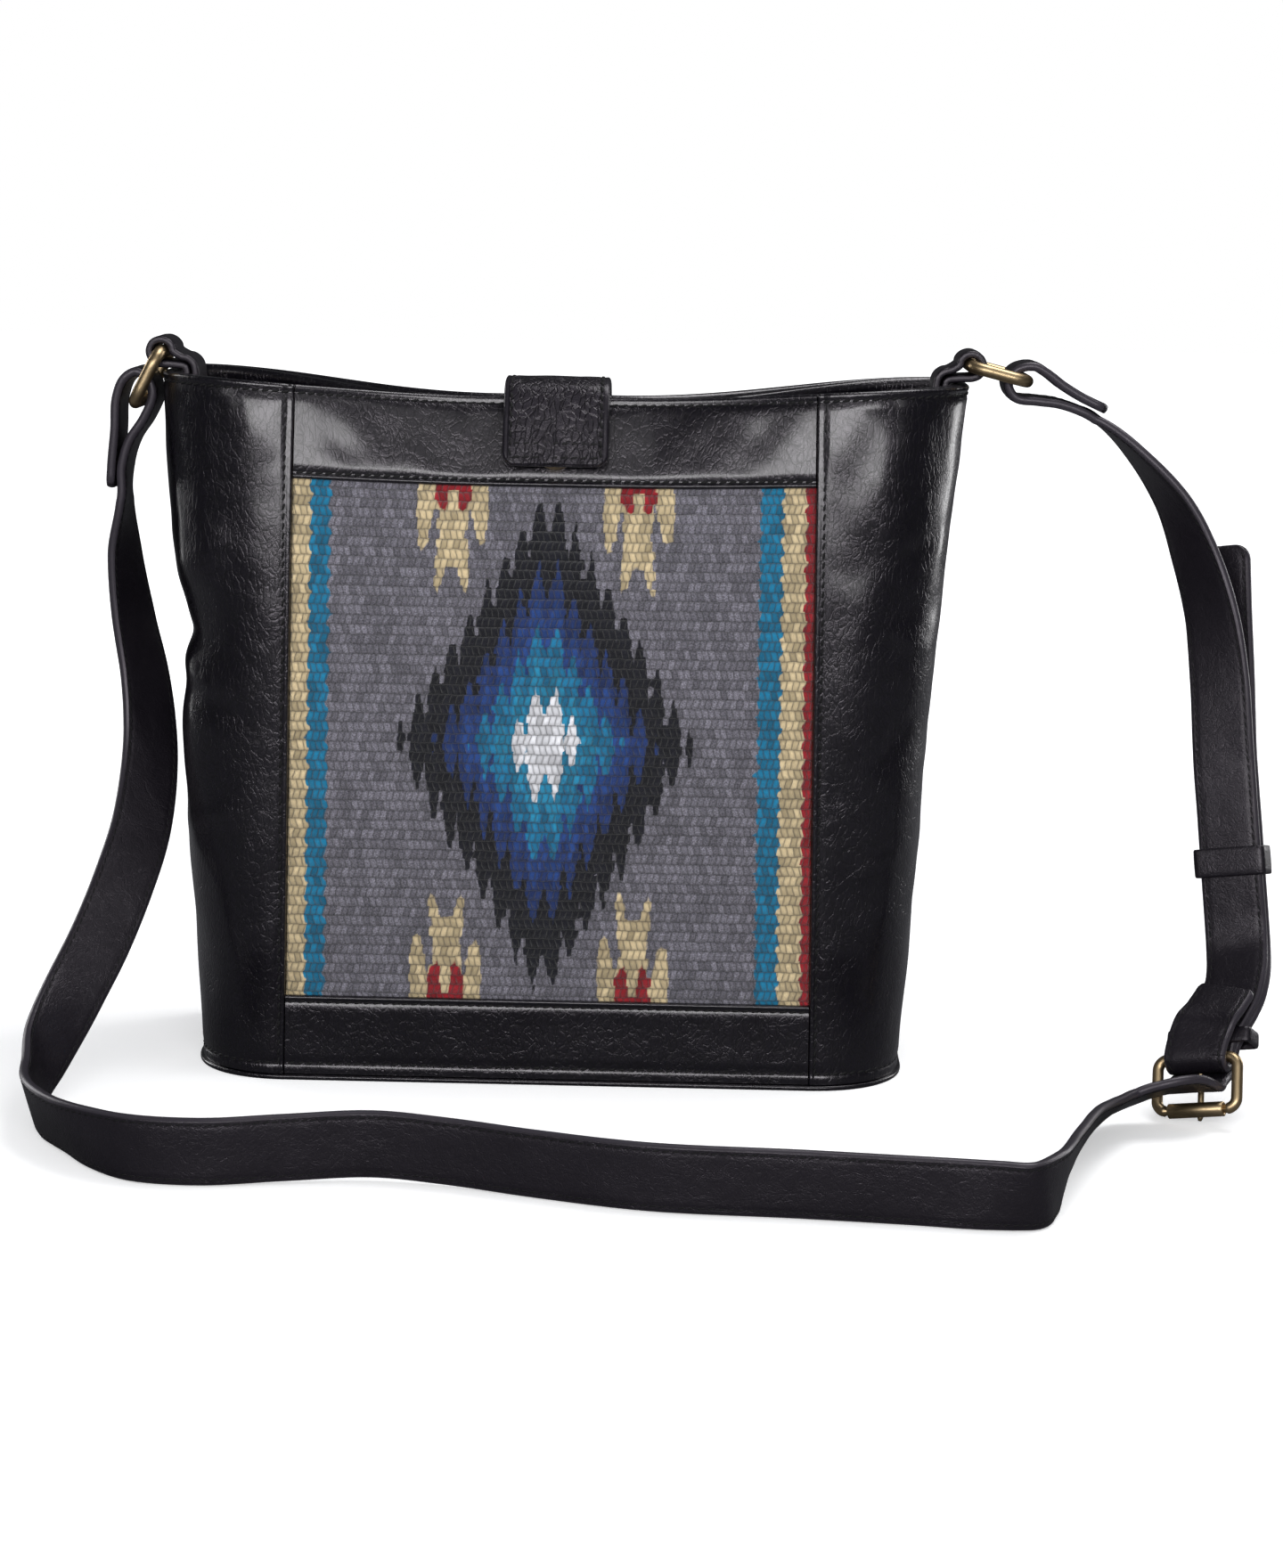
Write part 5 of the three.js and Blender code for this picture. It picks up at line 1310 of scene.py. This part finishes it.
frameWidth = buckle["innerWidth"] + 2 * buckle["wire"]
frameLoop = roundedLoop(foldBar, -upStrap, alongRoller, buckle["reach"], frameWidth, buckle["corner"], 10, 14)
offset = frameLoop - rollerCentre
rollerHalf = buckle["innerWidth"] / 2 - buckle["clear"] - 2.4
onRoller = (np.abs(offset @ alongRoller) < rollerHalf + 0.9) & (
    np.linalg.norm(offset, axis=-1) < frameWidth / 2)
frameRadius = np.where(onRoller, buckle["barWire"], buckle["wire"])
wire("brassBuckleFrame", frameLoop, frameRadius, farSide, "bag", "buckle_frame")


# A tube turned about the roller's axis, its outer edges bevelled.
def rollerPiece():
    inner, end, bevel = buckle["barWire"] + buckle["clear"], rollerHalf, 0.25
    outer = inner + buckle["rollerWall"]
    profile = [(inner, -end), (outer - bevel, -end), (outer, bevel - end), (outer, end - bevel),
               (outer - bevel, end), (inner, end)]
    angle = np.arange(40) * np.pi / 20
    loops = [rollerCentre + alongRoller * a + r * (
        np.cos(angle)[:, None] * upStrap + np.sin(angle)[:, None] * farSide) for r, a in profile]
    makePiece("brassRoller", np.concatenate(loops), [gridQuads(6, 40, closeRows=True, closeColumns=True)],
              brushedBrass, "buckle_roller", ["buckle_roller"])


rollerPiece()

# The prong: an open eye round the frame's far bar, then straight out over the roller.
eyeRadius = buckle["wire"] + buckle["clear"] + buckle["prong"]
tipOut = buckle["barWire"] + buckle["clear"] + buckle["rollerWall"] + buckle["clear"] + buckle["prong"]
turns = np.radians(np.linspace(-128, 128, 40))
prongPath = [inBuckle(eyeRadius * math.cos(a), eyeRadius * math.sin(a)) for a in turns]
prongPath += [inBuckle(-eyeRadius, eyeRadius * 0.72), inBuckle(-7, tipOut - 0.4)]
prongPath += [inBuckle(-up, tipOut) for up in np.linspace(9, buckle["reach"], 8)]
prongPath += [inBuckle(-buckle["reach"] - 1.5, tipOut - 0.15), inBuckle(-buckle["reach"] - 3, tipOut - 0.4)]
prongRadius = np.full(len(prongPath), buckle["prong"])
prongRadius[-1] *= 0.6
wire("brassProng", prongPath, prongRadius, alongRoller, "buckle_prong", "buckle_prong", False, 14)
print("buckle made")


# Keepers: their wall's thickness, their inner corners, their widths and the room that they leave.
keepers = {"wall": 1.4, "corner": 1.5, "upperWidth": 11.0, "lowerWidth": 6.0, "upperRoom": (1.0, 1.5),
           "lowerRoom": (6.0, 2.0)}


# A band of leather, its section carried round a rounded rectangle that holds two layers of strap.
def keeper(label, room, width, basis, centre, body):
    across, out, along = basis
    wallThick, corner = keepers["wall"], keepers["corner"]
    innerWidth = 2 * strap["half"] + room[0]
    innerDepth = strap["thick"] + layerPitch + room[1]
    loop = roundedLoop(centre - across * (innerWidth / 2 + wallThick / 2), across, out,
                       innerWidth + wallThick, innerDepth + wallThick, corner, 6, 10)
    tangent = unit(np.roll(loop, -1, 0) - np.roll(loop, 1, 0))
    outwardDir = unit(np.cross(tangent, np.broadcast_to(along, loop.shape)))
    turn = np.linspace(-np.pi / 2, np.pi / 2, 5)
    r = wallThick / 2
    end = [(width / 2 - r + r * math.cos(t), r * math.sin(t)) for t in turn]
    flat = np.linspace(width / 2 - r, r - width / 2, 7)[1:-1]
    section = np.array(end + [(a, r + 0.1 * (1 - (2 * a / width) ** 2)) for a in flat])
    section = np.concatenate([section, -section])
    points = loop[:, None] + section[None, :, :1] * along + section[None, :, 1:] * outwardDir[:, None]
    faces = [gridQuads(len(loop), len(section), closeRows=True, closeColumns=True)]
    makePiece("leatherKeeper" + label, points, faces, strapLeather, body,
              ["keeper_" + label.lower()])


upperCentre = straightTop + (straightFoot - straightTop) * 0.58 + straightFace * (layerPitch / 2)
keeper("Upper", keepers["upperRoom"], keepers["upperWidth"], (straightAcross, straightFace, straightDir),
       upperCentre, "keeper_upper")
keeper("Lower", keepers["lowerRoom"], keepers["lowerWidth"], (alongRoller, farSide, upStrap),
       inBuckle(8.5, foldRadius - foldEase + layerPitch / 2 + 0.15, 3.5), "bag")

for name, material in (("snap_half_band", brushedBrass), ("snap_half_tab", brushedBrass),
                       ("base_stiffener", boardMaterial)):
    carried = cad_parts[name]
    carried.data.materials.clear()
    carried.data.materials.append(material)
print("keepers made and the carried nodes dressed")


# Floor and light. The floor and the world look white to the camera; the floor keeps its shadows, and
# glows more with distance so that it runs into the white behind it. Reflections see both darker.
stage = {
    "size": 6.0, "floorGlow": 0.38, "floorTone": 0.9, "fadeStart": 0.35, "fadeEnd": 1.3,
    "floorInGloss": 0.12, "worldLight": 0.4, "worldInGloss": 0.05,
}


# A level square for the floor, and a world; light paths tell the camera's rays from reflections.
def makeStage():
    size = stage["size"]
    mesh = bpy.data.meshes.new("studioFloor")
    corners = [(-size, -size, 0), (size, -size, 0), (size, size, 0), (-size, size, 0)]
    mesh.from_pydata(corners, [], [(0, 1, 2, 3)])
    floor = bpy.data.objects.new("studioFloor", mesh)
    bpy.context.collection.objects.link(floor)
    material = bpy.data.materials.new("whiteFloor")
    tree = emptyTree(material)
    place = node(tree, "TexCoord").outputs["Object"]
    away = node(tree, "VectorMath", {0: place}, operation="LENGTH").outputs["Value"]
    fade = node(tree, "MapRange", {
        "Value": away, "From Min": stage["fadeStart"], "From Max": stage["fadeEnd"],
        "To Min": stage["floorGlow"], "To Max": 1.0}, interpolation_type="SMOOTHSTEP").outputs[0]
    glow = node(tree, "Emission", {"Color": (1, 1, 1, 1), "Strength": fade})
    tone = stage["floorTone"]
    diffuse = node(tree, "BsdfDiffuse", {"Color": (tone, tone, tone, 1)})
    lit = node(tree, "AddShader", {0: diffuse.outputs[0], 1: glow.outputs[0]})
    path = node(tree, "LightPath")
    dull = stage["floorInGloss"]
    inGloss = mixColor(tree, path.outputs["Is Glossy Ray"], (0.8, 0.8, 0.8, 1), (dull, dull, dull * 1.05, 1))
    plain = node(tree, "BsdfDiffuse", {"Color": inGloss})
    seen = math2(tree, "MAXIMUM", path.outputs["Is Camera Ray"], path.outputs["Is Transmission Ray"])
    mixed = node(tree, "MixShader", {0: seen, 1: plain.outputs[0], 2: lit.outputs[0]})
    node(tree, "OutputMaterial", {"Surface": mixed.outputs[0]})
    mesh.materials.append(material)

    world = bpy.data.worlds.new("studioWorld")
    tree = emptyTree(world)
    path = node(tree, "LightPath")
    level = node(tree, "MapRange", {
        "Value": path.outputs["Is Glossy Ray"], "To Min": stage["worldLight"],
        "To Max": stage["worldInGloss"]}).outputs[0]
    white = node(tree, "Background", {"Color": (1, 1, 1, 1), "Strength": 1.0})
    dim = node(tree, "Background", {"Color": (0.93, 0.95, 1.0, 1), "Strength": level})
    seen = math2(tree, "MAXIMUM", path.outputs["Is Camera Ray"], path.outputs["Is Transmission Ray"])
    mixed = node(tree, "MixShader", {0: seen, 1: dim.outputs[0], 2: white.outputs[0]})
    node(tree, "OutputWorld", {"Surface": mixed.outputs[0]})
    bpy.context.scene.world = world


lamps = [
    # name, place, aimed at, width, height, watts
    ("overheadSoftbox", (0.45, 0.1, 1.5), (0.0, -0.05, 0.1), 0.8, 0.75, 10.5),
    ("frontSoftbox", (0.35, -1.3, 1.3), (0.05, 0.0, 0.2), 1.3, 0.4, 1.0),
    ("lowSoftbox", (-0.05, -1.5, 0.58), (0.0, 0.0, 0.2), 1.5, 0.38, 13.0),
    ("rightRim", (1.15, 0.75, 0.45), (0.1, 0.0, 0.15), 0.3, 0.9, 3.8),
    ("leftRim", (-1.15, 0.75, 0.45), (-0.1, 0.0, 0.15), 0.3, 0.9, 3.8),
    ("leftFill", (-1.0, -1.0, 0.75), (-0.1, 0.0, 0.18), 0.2, 0.6, 0.6),
    ("rightFill", (1.0, -1.0, 0.75), (0.1, 0.0, 0.18), 0.15, 0.6, 0.5),
]


# One area lamp for each row, turned towards the place it is aimed at.
def makeLamps():
    for name, place, aim, width, height, watts in lamps:
        data = bpy.data.lights.new(name, "AREA")
        data.shape = "RECTANGLE"
        data.size, data.size_y = width, height
        data.energy = watts
        lamp = bpy.data.objects.new(name, data)
        lamp.location = place
        lamp.rotation_euler = (Vector(aim) - Vector(place)).to_track_quat("-Z", "Y").to_euler()
        bpy.context.collection.objects.link(lamp)


makeStage()
makeLamps()
bpy.context.scene.view_settings.view_transform = "Standard"
print("floor and lamps made")
